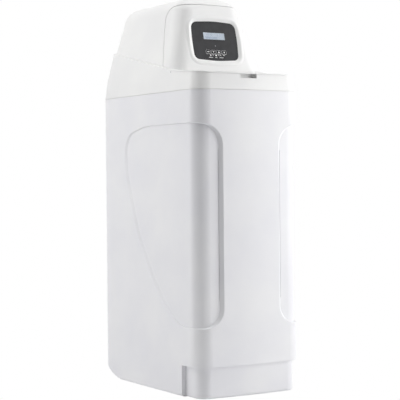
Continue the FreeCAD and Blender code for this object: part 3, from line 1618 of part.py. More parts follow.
def brine_well_cap():
    cap = rod(well_radius + cap_overhang, well_x, well_y, well_top, Z_AXIS, cap_thickness)
    rim = [e for e in cap.Edges if e.BoundBox.ZMin > well_top + 1.0 and e.Closed
           and len(e.Vertexes) == 1]
    cap = cap.makeFillet(1.5, rim)
    skirt = tube(well_radius - well_wall - cap_clearance, well_radius - 2 * well_wall - cap_clearance,
                 well_x, well_y, well_top - cap_skirt, Z_AXIS, cap_skirt + 0.5)
    return cap.fuse(skirt).cut(rod(brine_tube_radius + 0.3, pickup_x, well_y, well_top - 2.0, Z_AXIS,
                                   cap_thickness + 4.0))


def brine_valve_body():
    """Float valve: block across the well, carried by the pick-up tube and two wall pads"""
    top = brine_valve_bottom + brine_valve_height
    body = top_prism([
        (brine_valve_left, well_y - brine_valve_half_depth, 4.0),
        (brine_valve_right, well_y - brine_valve_half_depth, 4.0),
        (brine_valve_right, well_y + brine_valve_half_depth, 4.0),
        (brine_valve_left, well_y + brine_valve_half_depth, 4.0),
    ], brine_valve_bottom, top)
    inside = rod(well_radius - well_wall - 0.3, well_x, well_y, brine_valve_bottom - 1.0, Z_AXIS, 60.0)
    bridge = block(well_x - 4.0, well_x + 4.0, well_y - well_radius, well_y + well_radius,
                   brine_valve_bottom, brine_valve_bottom + 10.0)
    body = body.fuse(bridge).common(inside)
    pipe = tube(brine_tube_radius, brine_tube_bore, pickup_x, well_y,
                air_check_bottom + air_check_height, Z_AXIS,
                brine_valve_bottom - air_check_bottom - air_check_height + 0.5)
    body = body.fuse(pipe)
    return body.cut(rod(rod_radius + rod_clearance, float_x, well_y, brine_valve_bottom - 1.0, Z_AXIS,
                        brine_valve_height + 2.0))


def air_check():
    body = rod(air_check_radius, pickup_x, well_y, air_check_bottom, Z_AXIS, air_check_height)
    ends = [e for e in body.Edges if e.Closed and len(e.Vertexes) == 1]
    body = body.makeFillet(2.0, ends)
    foot = block(pickup_x - 2.0, pickup_x + 2.0, well_y - 6.0, well_y + 6.0, cabinet_wall,
                 air_check_bottom + 3.0)
    return body.fuse(foot)


def float_rod():
    top = well_top - cap_skirt - rod_head_room - float_lift
    return rod(rod_radius, float_x, well_y, rod_bottom, Z_AXIS, top - rod_bottom)


def brine_float():
    cup = rod(float_radius, float_x, well_y, float_bottom, Z_AXIS, float_height)
    ends = [e for e in cup.Edges if e.Closed and len(e.Vertexes) == 1]
    cup = cup.makeFillet(6.0, ends)
    return cup.cut(rod(rod_radius, float_x, well_y, float_bottom - 1.0, Z_AXIS, float_height + 2.0))


def float_grommets():
    rings = []
    for height in (float_bottom - grommet_thickness, float_bottom + float_height):
        rings.append(tube(grommet_radius, rod_radius, float_x, well_y, height, Z_AXIS,
                          grommet_thickness))
    return Part.Compound(rings)


def overflow_fitting():
    start = cabinet_back - cabinet_wall - overflow_nut_thickness - 4.0
    outside = cabinet_back + gasket_thickness
    shank = rod(overflow_shank_radius, overflow_x, start, overflow_height, Y_AXIS, outside - start)
    flange = rod(overflow_flange_radius, overflow_x, outside, overflow_height, Y_AXIS, overflow_flange)
    spigot = rod(overflow_spigot_radius, overflow_x, outside, overflow_height, Y_AXIS,
                 pipe_end_y - outside)
    fitting = shank.fuse([flange, spigot])
    return fitting.cut(rod(overflow_bore, overflow_x, start - 1.0, overflow_height, Y_AXIS,
                           pipe_end_y - start + 2.0))


def overflow_nut():
    start = cabinet_back - cabinet_wall - overflow_nut_thickness
    nut = hexagon(overflow_flange_radius, overflow_x, start, overflow_height, Y_AXIS,
                  overflow_nut_thickness)
    return nut.cut(rod(overflow_shank_radius + fit_clearance, overflow_x, start - 1.0, overflow_height,
                       Y_AXIS, overflow_nut_thickness + 2.0))


def overflow_gasket():
    return tube(overflow_flange_radius, overflow_shank_radius + fit_clearance, overflow_x,
                cabinet_back, overflow_height, Y_AXIS, gasket_thickness)


def collar_back_y(z):
    """Outer back plane of the collar at a height, read between its levels"""
    rise = z - seam_height
    for low, high in zip(collar_levels, collar_levels[1:]):
        if low[0] <= rise <= high[0]:
            share = (rise - low[0]) / (high[0] - low[0])
            return cabinet_back - low[3] - share * (high[3] - low[3])
    return cabinet_back - collar_levels[-1][3]


def cable_grommet():
    """Rubber bush for the supply cable, with a flange on each face of the collar's back wall"""
    low = collar_back_y(cable_grommet_height - cable_grommet_flange)
    high = collar_back_y(cable_grommet_height + cable_grommet_flange)
    outside = max(low, high) + 0.2
    inside = min(low, high) - collar_wall - 0.4
    thick = cable_grommet_flange_thickness
    bush = rod(cable_grommet_radius, grommet_x, inside - thick, cable_grommet_height, Y_AXIS,
               outside - inside + 2 * thick)
    outer = rod(cable_grommet_flange, grommet_x, outside, cable_grommet_height, Y_AXIS, thick)
    inner = rod(cable_grommet_flange, grommet_x, inside - thick, cable_grommet_height, Y_AXIS, thick)
    bush = bush.fuse([outer, inner])
    return bush.cut(rod(cable_bore, grommet_x, inside - thick - 1.0, cable_grommet_height, Y_AXIS,
                        outside - inside + 2 * thick + 2.0))


def build_outside():
    save(cabinet_shell(), "cabinet_shell")
    save(top_collar(), "top_collar")
    save(salt_lid(), "salt_lid")
    save(lid_hinge_pins(), "lid_hinge_pins")
    lip = hood_wall + fascia_lip_clearance
    forms = {
        "outer": dome_form(0.0),
        "inner": dome_form(hood_wall),
        "bridge": dome_form(hood_wall - 0.1),
        "lip_outer": dome_form(lip),
        "lip_inner": dome_form(lip + fascia_lip_thickness),
        "flange_inner": dome_form(hood_wall + hood_flange_width),
    }
    save(valve_hood(forms), "valve_hood")
    save(control_fascia(forms), "control_fascia")
    save(hood_screws(), "hood_screws")
    save(panel_overlay(), "panel_overlay")
    save(display_window(), "display_window")
    save(display_module(), "display_module")
    save(controller_board(), "controller_board")
    save(board_screws(), "board_screws")
    for name, (x, y) in zip(("key_set", "key_down", "key_up", "key_enter"), key_places()):
        save(key_cap(x, y), name)


def build_inside():
    pieces = {
        "pressure_vessel": pressure_vessel(),
        "vessel_boot": vessel_boot(),
        "resin_bed": resin_bed(),
        "riser_tube": riser_tube(),
        "bottom_strainer": bottom_strainer(),
        "top_strainer": top_strainer(),
        "vessel_o_ring": vessel_o_ring(),
        "valve_body": valve_body(),
        "fixed_disc": fixed_disc(),
        "moving_disc": moving_disc(),
        "main_gear": main_gear(),
        "drive_pinion": drive_pinion(),
        "drive_motor": drive_motor(),
        "gear_cover": gear_cover(),
        "injector_cap": injector_cap(),
        "drain_fitting": drain_fitting(),
        "brine_fitting": brine_fitting(),
        "brine_line": brine_line(),
        "bypass_body": bypass_body(),
        "inlet_knob": bypass_knob(-1),
        "outlet_knob": bypass_knob(1),
        "inlet_connector": connector(-1),
        "outlet_connector": connector(1),
        "inlet_union_nut": union_nut(-1),
        "outlet_union_nut": union_nut(1),
        "port_clips": port_clips(),
        "brine_well": brine_well(),
        "brine_well_cap": brine_well_cap(),
        "brine_valve_body": brine_valve_body(),
        "air_check": air_check(),
        "float_rod": float_rod(),
        "brine_float": brine_float(),
        "float_grommets": float_grommets(),
        "overflow_fitting": overflow_fitting(),
        "overflow_nut": overflow_nut(),
        "overflow_gasket": overflow_gasket(),
        "cable_grommet": cable_grommet(),
    }
    for name, shape in pieces.items():
        save(shape, name)


if __name__ == "__main__":
    build_outside()
    build_inside()
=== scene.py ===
import math

import bmesh
import bpy
from mathutils import Matrix, Vector
from mathutils.bvhtree import BVHTree
from mathutils.geometry import convex_hull_2d


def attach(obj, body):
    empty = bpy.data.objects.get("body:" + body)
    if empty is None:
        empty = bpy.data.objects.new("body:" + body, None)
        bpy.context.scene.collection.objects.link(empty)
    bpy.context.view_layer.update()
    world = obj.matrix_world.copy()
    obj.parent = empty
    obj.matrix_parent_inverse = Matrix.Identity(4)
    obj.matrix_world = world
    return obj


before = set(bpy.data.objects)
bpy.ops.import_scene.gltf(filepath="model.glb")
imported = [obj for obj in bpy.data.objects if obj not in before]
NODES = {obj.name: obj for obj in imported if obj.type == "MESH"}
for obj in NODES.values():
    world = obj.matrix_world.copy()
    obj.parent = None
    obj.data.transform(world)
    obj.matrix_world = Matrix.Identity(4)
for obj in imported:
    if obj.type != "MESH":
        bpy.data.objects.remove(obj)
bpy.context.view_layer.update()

MM = 0.001

# Camera: found from the cabinet's verticals, seam, base line and lid edges
camera_place = Vector((-1.9272, -3.2209, 0.5856))
camera_turn = math.radians(31.003)
camera_dip = math.radians(0.970)
camera_roll = math.radians(0.520)
focal_in_pixels = 1313.4
picture_pixels = 400.0
sensor_width = 36.0
camera_reach = 60.0

# Control panel, in millimetres: its own frame has x to the right, y up the panel and z out of it
panel_lean = math.radians(12.4)
panel_centre = Vector((0.0, -0.1047, 0.9664))
panel_up = Vector((0.0, math.sin(panel_lean), math.cos(panel_lean)))
panel_out = Vector((0.0, -math.cos(panel_lean), math.sin(panel_lean)))
overlay_face = -3.0
display_face = -8.3
display_offset = 14.5
display_cell = (3.9, 7.6)
dot_size = (0.62, 0.744)
dot_pitch = (0.68, 0.86)
dot_thickness = 0.04
first_dot = (0.6, 2.6)
key_row = -32.0
key_pitch = 17.2
key_places = [(step - 1.5) * key_pitch for step in range(4)]
key_size = (11.0, 7.6)
key_face = overlay_face + 0.5
ink_lift = 0.03
ink_thickness = 0.05
print_face = overlay_face + ink_lift
frame_inside = 2.6
frame_outside = (3.4, 3.6)
frame_drop = 0.2
frame_corners = (2.2, 1.8)
symbol_row = -41.4
dash_row = -47.6
dash_groups = [(-19.2, 6), (-1.6, 3), (15.2, 6)]
dash_pitch = 2.2
dash_size = (1.7, 1.5)
status_row = -14.0
status_radius = 1.5
status_rise = 0.5

# Swell of the fascia round the film: distance from the film's edge, height above the fascia
surround_profile = [(0.5, -0.8), (0.9, -0.1), (1.6, 0.1), (3.0, 0.35), (5.0, 0.75), (7.0, 1.15), (8.5, 1.4),
                    (10.0, 1.5), (11.5, 1.4), (13.0, 1.1), (14.5, 0.65), (16.0, 0.2), (17.5, -0.2)]

# The fascia's height is taken at least this far outside the film, past the rim of its pocket
pocket_rim = 2.0
ray_start = 40.0

# Points round the film's outline, and how many of them to either side give its direction
outline_points = 120
tangent_reach = 3

# Hose barbs, in millimetres: x and z of the spigot, its radius, where the first barb starts, how many
drain_spigot = (-88.0, 936.0, 6.75, 279.0, 3)
overflow_spigot = (104.0, 690.0, 8.0, 284.0, 2)
barb_pitch = 6.0
barb_length = 4.4
barb_foot = 0.4

# One barb: height above the spigot, distance along it
barb_profile = [(0.02, 0.0), (0.95, 0.5), (0.05, barb_length)]

# Pipe threads, in millimetres
port_x = 32.0
port_height = 928.0
thread_radius = 17.0
thread_depth = 0.9
thread_bore = 16.0
thread_start = 274.0
thread_end = 297.5
thread_pitch = 2.31
thread_rows = 8
turned_steps = 48

# Studio, in metres and watts
floor_half_width = 9.0
floor_drop = 0.0005
floor_front = -7.0
backdrop_start = 4.5
backdrop_radius = 2.5
backdrop_steps = 12
backdrop_top = 7.5
air_strength = 0.04
lamp_distance = 3.2
lamp_size = (1.6, 2.4)
lamp_target = Vector((0.0, 0.0, 0.55))

# Lamps: degrees round from the front, degrees up, watts
lamps = {
    "soft_box_left": (-125.0, 12.0, 41.0),
    "soft_box_left_high": (-90.0, 50.0, 29.0),
    "soft_box_right": (60.0, 12.0, 46.0),
    "soft_box_right_front": (41.0, 11.0, 37.0),
    "soft_box_front_high": (-20.0, 65.0, 12.0),
    "soft_box_above": (0.0, 85.0, 35.0),
}


def linear(code):
    """Linear colour, with alpha, of an sRGB hex code"""
    values = [int(code[i:i + 2], 16) / 255 for i in (1, 3, 5)]
    return [((v + 0.055) / 1.055) ** 2.4 if v > 0.04045 else v / 12.92 for v in values] + [1.0]


def add(tree, kind, props=None, values=None, links=None):
    """Add a node with its settings, socket values and links"""
    node = tree.nodes.new(kind)
    for name, value in (props or {}).items():
        setattr(node, name, value)
    for socket, value in (values or {}).items():
        node.inputs[socket].default_value = value
    for socket, source in (links or {}).items():
        tree.links.new(source, node.inputs[socket])
    return node


def new_surface(name, colour, roughness, ior=1.5, metallic=0.0):
    """Material with one Principled shader; returns it with its tree, shader and object coordinates"""
    material = bpy.data.materials.new(name)
    material.use_nodes = True
    tree = material.node_tree
    shader = tree.nodes["Principled BSDF"]
    shader.inputs["Base Color"].default_value = linear(colour)
    shader.inputs["Roughness"].default_value = roughness
    shader.inputs["Metallic"].default_value = metallic
    if not metallic:
        shader.inputs["IOR"].default_value = ior
    place = add(tree, "ShaderNodeTexCoord").outputs["Object"]
    return material, tree, shader, place


def vary_colour(tree, shader, mask, low, high, spread=(0.35, 0.65)):
    """Drive the colour between two tones by a mask; returns the colour's socket"""
    ramp = add(tree, "ShaderNodeMapRange", values={"From Min": spread[0], "From Max": spread[1]},
               links={"Value": mask})
    mix = add(tree, "ShaderNodeMix", props={"data_type": "RGBA"},
              links={"Factor": ramp.outputs["Result"]})
    mix.inputs[6].default_value = linear(low)
    mix.inputs[7].default_value = linear(high)
    tree.links.new(mix.outputs[2], shader.inputs["Base Color"])
    return mix.outputs[2]


def emboss(tree, shader, mask, depth_mm, strength=1.0):
    """Raise the surface by a mask, to a real depth"""
    bump = add(tree, "ShaderNodeBump", values={"Strength": strength, "Distance": depth_mm * MM},
               links={"Height": mask})
    tree.links.new(bump.outputs["Normal"], shader.inputs["Normal"])


def mottle(tree, shader, place, size_mm, detail, low, high, spread=(0.35, 0.65)):
    """Let the colour drift between two tones, in patches of about a size; returns the colour's socket"""
    patches = add(tree, "ShaderNodeTexNoise", values={"Scale": 1.0 / (size_mm * MM), "Detail": detail},
                  links={"Vector": place})
    return vary_colour(tree, shader, patches.outputs["Fac"], low, high, spread)


def uneven_gloss(tree, shader, place, size_mm, detail, low, high):
    """Let the roughness drift between two values, in patches of about a size"""
    patches = add(tree, "ShaderNodeTexNoise", values={"Scale": 1.0 / (size_mm * MM), "Detail": detail},
                  links={"Vector": place})
    ramp = add(tree, "ShaderNodeMapRange",
               values={"From Min": 0.3, "From Max": 0.7, "To Min": low, "To Max": high},
               links={"Value": patches.outputs["Fac"]})
    tree.links.new(ramp.outputs["Result"], shader.inputs["Roughness"])


def grain(tree, shader, place, size_mm, detail, depth_mm):
    """Raise the surface in grains or ripples of about a size, to a real depth"""
    lumps = add(tree, "ShaderNodeTexNoise", values={"Scale": 1.0 / (size_mm * MM), "Detail": detail},
                links={"Vector": place})
    emboss(tree, shader, lumps.outputs["Fac"], depth_mm)


def polyethylene_blow_moulded():
    """Cabinet: cool white polyethylene, with the soft ripple that blow moulding leaves"""
    material, tree, shader, place = new_surface("polyethylene_blow_moulded", "#E9E9EC", 0.44, 1.51)
    mottle(tree, shader, place, 160.0, 3.0, "#E6E6EA", "#EBEBED")
    uneven_gloss(tree, shader, place, 45.0, 2.0, 0.41, 0.47)
    grain(tree, shader, place, 9.0, 2.0, 0.05)
    return material


def abs_injection_moulded():
    """Collar, lid, hood and fascia: neutral white ABS with a satin gloss and fine mould grain"""
    material, tree, shader, place = new_surface("abs_injection_moulded", "#EBEBEB", 0.44, 1.53)
    mottle(tree, shader, place, 120.0, 3.0, "#E9E9E9", "#EDEDEC")
    uneven_gloss(tree, shader, place, 60.0, 1.0, 0.42, 0.46)
    grain(tree, shader, place, 0.8, 2.0, 0.002)
    return material


def polycarbonate_overlay():
    """Panel face: charcoal polycarbonate film, reverse printed, with a velvet grain on the front"""
    material, tree, shader, place = new_surface("polycarbonate_overlay", "#2F2F31", 0.52, 1.45)
    shader.inputs["Specular IOR Level"].default_value = 0.25
    mottle(tree, shader, place, 22.0, 4.0, "#2C2C2E", "#323234")
    uneven_gloss(tree, shader, place, 6.0, 3.0, 0.46, 0.58)
    grain(tree, shader, place, 0.5, 2.0, 0.004)
    return material


def silicone_key():
    """Keys: near-black moulded silicone, darker and softer than the film round them"""
    material, tree, shader, place = new_surface("silicone_key", "#0E0E0F", 0.75, 1.43)
    shader.inputs["Specular IOR Level"].default_value = 0.2
    mottle(tree, shader, place, 3.0, 3.0, "#0B0B0C", "#121213")
    grain(tree, shader, place, 0.4, 2.0, 0.006)
    return material


def screen_ink():
    """Printed marks on the panel: white screen ink, slightly uneven in cover"""
    material, tree, shader, place = new_surface("screen_ink", "#F2F2F2", 0.5)
    mottle(tree, shader, place, 0.6, 3.0, "#E8E8E8", "#FAFAFA")
    return material


def acrylic_window():
    """Window over the display: clear acrylic, polished"""
    material, tree, shader, place = new_surface("acrylic_window", "#F4F7FA", 0.04, 1.49)
    shader.inputs["Transmission Weight"].default_value = 1.0
    uneven_gloss(tree, shader, place, 8.0, 2.0, 0.02, 0.06)
    return material


def lcd_backlit():
    """Display: pale blue light guide behind the glass, glowing a little unevenly"""
    material, tree, shader, place = new_surface("lcd_backlit", "#B9C1C9", 0.5)
    glow = mottle(tree, shader, place, 26.0, 1.0, "#B1BAC3", "#C1C7CF", (0.3, 0.7))
    tree.links.new(glow, shader.inputs["Emission Color"])
    shader.inputs["Emission Strength"].default_value = 0.27
    return material


def lcd_segment():
    """Dots of the display: dyed liquid crystal, a faint blue-grey against the lit ground"""
    material, tree, shader, place = new_surface("lcd_segment", "#9AA7B8", 0.6)
    mottle(tree, shader, place, 1.5, 1.0, "#95A2B4", "#A0ACBC")
    shader.inputs["Emission Color"].default_value = linear("#9AA7B8")
    shader.inputs["Emission Strength"].default_value = 0.23
    return material


def glass_fibre_wound():
    """Vessel: glass rovings wound crosswise in epoxy, translucent grey-green with a wavy gloss"""
    material, tree, shader, place = new_surface("glass_fibre_wound", "#C3C6BA", 0.32, 1.55)
    bands = []
    for tilt in (-34.0, 34.0):
        turn = add(tree, "ShaderNodeMapping", values={"Rotation": (0.0, math.radians(tilt), 0.0)},
                   links={"Vector": place}).outputs["Vector"]
        wave = add(tree, "ShaderNodeTexWave", props={"bands_direction": "Z"},
                   values={"Scale": 0.314 / (6.0 * MM), "Distortion": 1.2, "Detail": 2.0},
                   links={"Vector": turn})
        bands.append(wave.outputs["Fac"])
    cross = add(tree, "ShaderNodeMath", props={"operation": "MAXIMUM"},
                links={0: bands[0], 1: bands[1]})
    vary_colour(tree, shader, cross.outputs["Value"], "#A9AD9E", "#D2D4C8", (0.4, 1.0))
    emboss(tree, shader, cross.outputs["Value"], 0.3)
    return material


def ppe_glass_filled():
    """Valve, bypass and connectors: black glass-filled PPE, moulded, dull with pale fibre specks"""
    material, tree, shader, place = new_surface("ppe_glass_filled", "#2A2B2D", 0.48, 1.57)
    mottle(tree, shader, place, 1.2, 5.0, "#252628", "#34363A", (0.45, 0.75))
    uneven_gloss(tree, shader, place, 18.0, 3.0, 0.42, 0.56)
    grain(tree, shader, place, 0.9, 3.0, 0.02)
    return material


def acetal_natural():
    """Gears and shafts: natural acetal, waxy off-white"""
    material, tree, shader, place = new_surface("acetal_natural", "#E3E0D4", 0.36, 1.48)
    shader.inputs["Subsurface Weight"].default_value = 0.15
    shader.inputs["Subsurface Radius"].default_value = (0.002, 0.002, 0.0015)
    mottle(tree, shader, place, 14.0, 3.0, "#DEDACD", "#E8E5DA")
    grain(tree, shader, place, 1.0, 2.0, 0.01)
    return material


def alumina_lapped():
    """Valve discs: lapped alumina ceramic, smooth with a faint lapping haze"""
    material, tree, shader, place = new_surface("alumina_lapped", "#E9E5DC", 0.16, 1.76)
    uneven_gloss(tree, shader, place, 2.0, 4.0, 0.12, 0.24)
    return material


def nylon_blue():
    """Bypass knobs: blue nylon, moulded with a light grain for grip"""
    material, tree, shader, place = new_surface("nylon_blue", "#2F5C9E", 0.44, 1.53)
    mottle(tree, shader, place, 12.0, 3.0, "#2B5796", "#3462A6")
    grain(tree, shader, place, 0.8, 3.0, 0.03)
    return material


def polypropylene_natural():
    """Brine parts and tubes: natural polypropylene, milky and slightly waxy"""
    material, tree, shader, place = new_surface("polypropylene_natural", "#DFE2E0", 0.40, 1.49)
    shader.inputs["Subsurface Weight"].default_value = 0.1
    shader.inputs["Subsurface Radius"].default_value = (0.003, 0.003, 0.003)
    mottle(tree, shader, place, 40.0, 3.0, "#D9DCDA", "#E6E8E6")
    grain(tree, shader, place, 3.0, 2.0, 0.03)
    return material


def epdm_rubber():
    """Seals, bushes and the vessel's boot: moulded EPDM, dull black with a dusty bloom"""
    material, tree, shader, place = new_surface("epdm_rubber", "#1E1F20", 0.68, 1.52)
    mottle(tree, shader, place, 7.0, 4.0, "#1A1B1C", "#2A2B2C")
    grain(tree, shader, place, 1.1, 3.0, 0.03)
    return material


def stainless_brushed():
    """Screws, pins and clips: stainless steel, finely brushed round"""
    material, tree, shader, place = new_surface("stainless_brushed", "#B9BBBD", 0.3, metallic=1.0)
    stretched = add(tree, "ShaderNodeMapping", values={"Scale": (1.0, 1.0, 9.0)},
                    links={"Vector": place}).outputs["Vector"]
    uneven_gloss(tree, shader, stretched, 0.8, 3.0, 0.22, 0.38)
    grain(tree, shader, stretched, 0.5, 2.0, 0.006)
    return material


def resin_beads():
    """Exchange resin: amber beads under a millimetre, drawn at 2 mm so that they show, with painted shade
    darkening each bead toward its rim
    """
    material, tree, shader, place = new_surface("resin_beads", "#A66C2B", 0.3, 1.6)
    cells = add(tree, "ShaderNodeTexVoronoi", values={"Scale": 1.0 / (2.0 * MM)}, links={"Vector": place})
    # Painted shade: each bead is lighter in its middle and darker toward its rim, where the beads meet
    vary_colour(tree, shader, cells.outputs["Distance"], "#C68A43", "#7E4C18", (0.1, 0.7))
    emboss(tree, shader, cells.outputs["Distance"], 0.5, -1.0)
    return material


def circuit_laminate():
    """Board: green solder mask over woven glass, satin"""
    material, tree, shader, place = new_surface("circuit_laminate", "#1F5A3A", 0.34, 1.55)
    weave = add(tree, "ShaderNodeTexBrick",
                values={"Scale": 1.0 / (2.5 * MM), "Mortar Size": 0.02, "Color1": linear("#1D5637"),
                        "Color2": linear("#256341"), "Mortar": linear("#174A2E")},
                links={"Vector": place})
    tree.links.new(weave.outputs["Color"], shader.inputs["Base Color"])
    return material


def motor_case_painted():
    """Drive motor and module case: black enamel on a pressed case, slightly orange-peeled"""
    material, tree, shader, place = new_surface("motor_case_painted", "#303236", 0.36, 1.5)
    mottle(tree, shader, place, 15.0, 3.0, "#2B2D31", "#37393E")
    grain(tree, shader, place, 2.2, 2.0, 0.02)
    return material


def led_lens():
    """Status lamp: small diffusing lens, unlit"""
    material, tree, shader, place = new_surface("led_lens", "#8F9294", 0.25, 1.5)
    mottle(tree, shader, place, 0.7, 2.0, "#85888B", "#9C9FA2")
    return material


MATERIALS = {
    "cabinet": polyethylene_blow_moulded(),
    "cover": abs_injection_moulded(),
    "overlay": polycarbonate_overlay(),
    "key": silicone_key(),
    "ink": screen_ink(),
    "window": acrylic_window(),
    "backlight": lcd_backlit(),
    "segment": lcd_segment(),
    "vessel": glass_fibre_wound(),
    "valve": ppe_glass_filled(),
    "gear": acetal_natural(),
    "disc": alumina_lapped(),
    "knob": nylon_blue(),
    "brine": polypropylene_natural(),
    "rubber": epdm_rubber(),
    "steel": stainless_brushed(),
    "resin": resin_beads(),
    "board": circuit_laminate(),
    "motor": motor_case_painted(),
    "led": led_lens(),
}

FINISHES = {
    "cabinet": ["cabinet_shell"],
    "cover": ["top_collar", "salt_lid", "valve_hood", "control_fascia"],
    "overlay": ["panel_overlay"],
    "key": ["key_set", "key_down", "key_up", "key_enter"],
    "window": ["display_window"],
    "backlight": ["display_module"],
    "vessel": ["pressure_vessel"],
    "valve": ["valve_body", "gear_cover", "injector_cap", "bypass_body", "inlet_connector",
              "outlet_connector", "inlet_union_nut", "outlet_union_nut", "drain_fitting",
              "brine_fitting"],
    "gear": ["main_gear", "drive_pinion"],
    "disc": ["fixed_disc", "moving_disc"],
    "knob": ["inlet_knob", "outlet_knob"],
    "brine": ["brine_line", "riser_tube", "bottom_strainer", "top_strainer", "brine_well",
              "brine_well_cap", "brine_valve_body", "air_check", "brine_float", "float_rod",
              "overflow_fitting", "overflow_nut"],
    "rubber": ["vessel_o_ring", "float_grommets", "overflow_gasket", "cable_grommet", "vessel_boot"],
    "steel": ["board_screws", "hood_screws", "lid_hinge_pins", "port_clips"],
    "resin": ["resin_bed"],
    "board": ["controller_board"],
    "motor": ["drive_motor"],
}


def dress(piece, finish):
    """Give every slot of a piece the same material"""
    slots = piece.data.materials
    if not slots:
        slots.append(MATERIALS[finish])
    for index in range(len(slots)):
        slots[index] = MATERIALS[finish]


def dress_nodes():
    """Give every carried-over CAD node its material"""
    for finish, names in FINISHES.items():
        for name in names:
            dress(NODES[name], finish)


def add_object(name, data):
    """New object in the scene, for a mesh, a lamp or a camera"""
    thing = bpy.data.objects.new(name, data)
    bpy.context.scene.collection.objects.link(thing)
    return thing


def add_shape(name, mesh):
    """New object in the scene from a bmesh, which is used up"""
    data = bpy.data.meshes.new(name)
    mesh.to_mesh(data)
    mesh.free()
    return add_object(name, data)


def make_piece(name, mesh, finish, body):
    """New piece from a bmesh, dressed, riding on a body"""
    piece = add_shape(name, mesh)
    dress(piece, finish)
    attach(piece, body)


def panel_point(x, y, w):
    """Point on the panel, from millimetres in its own frame"""
    return panel_centre + (Vector((1.0, 0.0, 0.0)) * x + panel_up * y + panel_out * w) * MM


def bridge(mesh, a, b):
    """Band of faces between two closed rings of vertices"""
    for index in range(len(a)):
        after = (index + 1) % len(a)
        mesh.faces.new([a[index], a[after], b[after], b[index]])


def wrap(mesh, rings):
    """Closed skin from each ring to the next, and from the last to the first, facing outward"""
    for a, b in zip(rings, rings[1:] + rings[:1]):
        bridge(mesh, a, b)
    bmesh.ops.recalc_face_normals(mesh, faces=mesh.faces)


def printed_shape(mesh, outline, w, thickness=ink_thickness):
    """Thin raised shape on the panel, from a closed outline in millimetres"""
    top = [mesh.verts.new(panel_point(x, y, w + thickness)) for x, y in outline]
    low = [mesh.verts.new(panel_point(x, y, w)) for x, y in outline]
    mesh.faces.new(top)
    mesh.faces.new(list(reversed(low)))
    bridge(mesh, low, top)


def box_outline(x, y, width, height):
    """Rectangle about a point"""
    a = width / 2
    b = height / 2
    return [(x - a, y - b), (x + a, y - b), (x + a, y + b), (x - a, y + b)]


def round_outline(x, y, radius, steps=20):
    """Circle about a point"""
    angles = [2 * math.pi * step / steps for step in range(steps)]
    return [(x + radius * math.cos(angle), y + radius * math.sin(angle)) for angle in angles]


def rounded_outline(x, y, width, height, radius, steps=5):
    """Rectangle with round corners"""
    points = []
    for sx, sy, start in ((1, 1, 0), (-1, 1, 90), (-1, -1, 180), (1, -1, 270)):
        cx = x + sx * (width / 2 - radius)
        cy = y + sy * (height / 2 - radius)
        for step in range(steps + 1):
            angle = math.radians(start + 90.0 * step / steps)
            points.append((cx + radius * math.cos(angle), cy + radius * math.sin(angle)))
    return points


def printed_frame(mesh, outer, inner, w):
    """Thin raised band between two outlines with as many points"""
    rings = []
    for outline, height in ((outer, w), (outer, w + ink_thickness), (inner, w + ink_thickness), (inner, w)):
        rings.append([mesh.verts.new(panel_point(x, y, height)) for x, y in outline])
    wrap(mesh, rings)


def key_marks():
    """One plain symbol on each key, moving with the key"""
    symbols = {
        "key_set": rounded_outline(0.0, 0.0, 6.4, 1.7, 0.5),
        "key_down": [(-2.7, 1.8), (0.0, -2.0), (2.7, 1.8)],
        "key_up": [(-3.6, -2.6), (3.6, -2.6), (0.0, 3.0)],
        "key_enter": rounded_outline(0.0, 0.0, 2.8, 5.2, 1.0),
    }
    for place, (name, symbol) in zip(key_places, symbols.items()):
        mesh = bmesh.new()
        printed_shape(mesh, [(place + x, key_row + y) for x, y in symbol], key_face + ink_lift)
        make_piece(name + "_mark", mesh, "ink", name + "_body")


def panel_print():
    """Printed on the film: a fine frame round each key, then a row of plain marks and one of dashes"""
    mesh = bmesh.new()
    width, height = key_size
    for x in key_places:
        outer = rounded_outline(x, key_row - frame_drop, width + frame_outside[0], height + frame_outside[1],
                                frame_corners[0])
        inner = rounded_outline(x, key_row, width + frame_inside, height + frame_inside, frame_corners[1])
        printed_frame(mesh, outer, inner, print_face)
    row = symbol_row
    for outline in (
            rounded_outline(-19.0, row, 3.4, 4.4, 1.2),
            [(-13.2, row + 1.6), (-11.4, row - 1.2), (-9.6, row + 1.6)],
            rounded_outline(-1.5, row, 4.6, 4.0, 0.9),
            [(6.0, row + 1.6), (7.2, row + 1.8), (9.2, row - 1.4), (8.0, row - 1.6)],
            round_outline(13.5, row + 0.4, 1.2),
            rounded_outline(24.0, row + 0.6, 5.0, 1.2, 0.4)):
        printed_shape(mesh, outline, print_face)
    for x, dashes in dash_groups:
        for dash in range(dashes):
            place = x + (dash - (dashes - 1) / 2) * dash_pitch
            printed_shape(mesh, box_outline(place, dash_row, *dash_size), print_face)
    make_piece("panel_print", mesh, "ink", "root")


def status_lamp():
    """Small domed lens between the display and the keys"""
    mesh = bmesh.new()
    rings = []
    for share in (0.0, 0.4, 0.75, 0.95):
        radius = status_radius * math.cos(math.asin(share))
        height = overlay_face + status_rise * share
        rings.append([mesh.verts.new(panel_point(x, y, height))
                      for x, y in round_outline(0.0, status_row, radius)])
    for a, b in zip(rings, rings[1:]):
        bridge(mesh, a, b)
    mesh.faces.new(rings[-1])
    mesh.faces.new(list(reversed(rings[0])))
    make_piece("status_lamp", mesh, "led", "root")


DIGITS = {
    "0": ["01110", "10001", "10011", "10101", "11001", "10001", "01110"],
    "1": ["00100", "01100", "00100", "00100", "00100", "00100", "01110"],
    "2": ["01110", "10001", "00001", "00110", "01000", "10000", "11111"],
    "3": ["11111", "00010", "00100", "00010", "00001", "10001", "01110"],
    ":": ["00000", "00100", "00100", "00000", "00100", "00100", "00000"],
    "#": ["11111", "11111", "11111", "11111", "11111", "11111", "11111"],
    "-": ["00000", "00000", "00000", "11111", "00000", "00000", "00000"],
    " ": ["00000", "00000", "00000", "00000", "00000", "00000", "00000"],
}


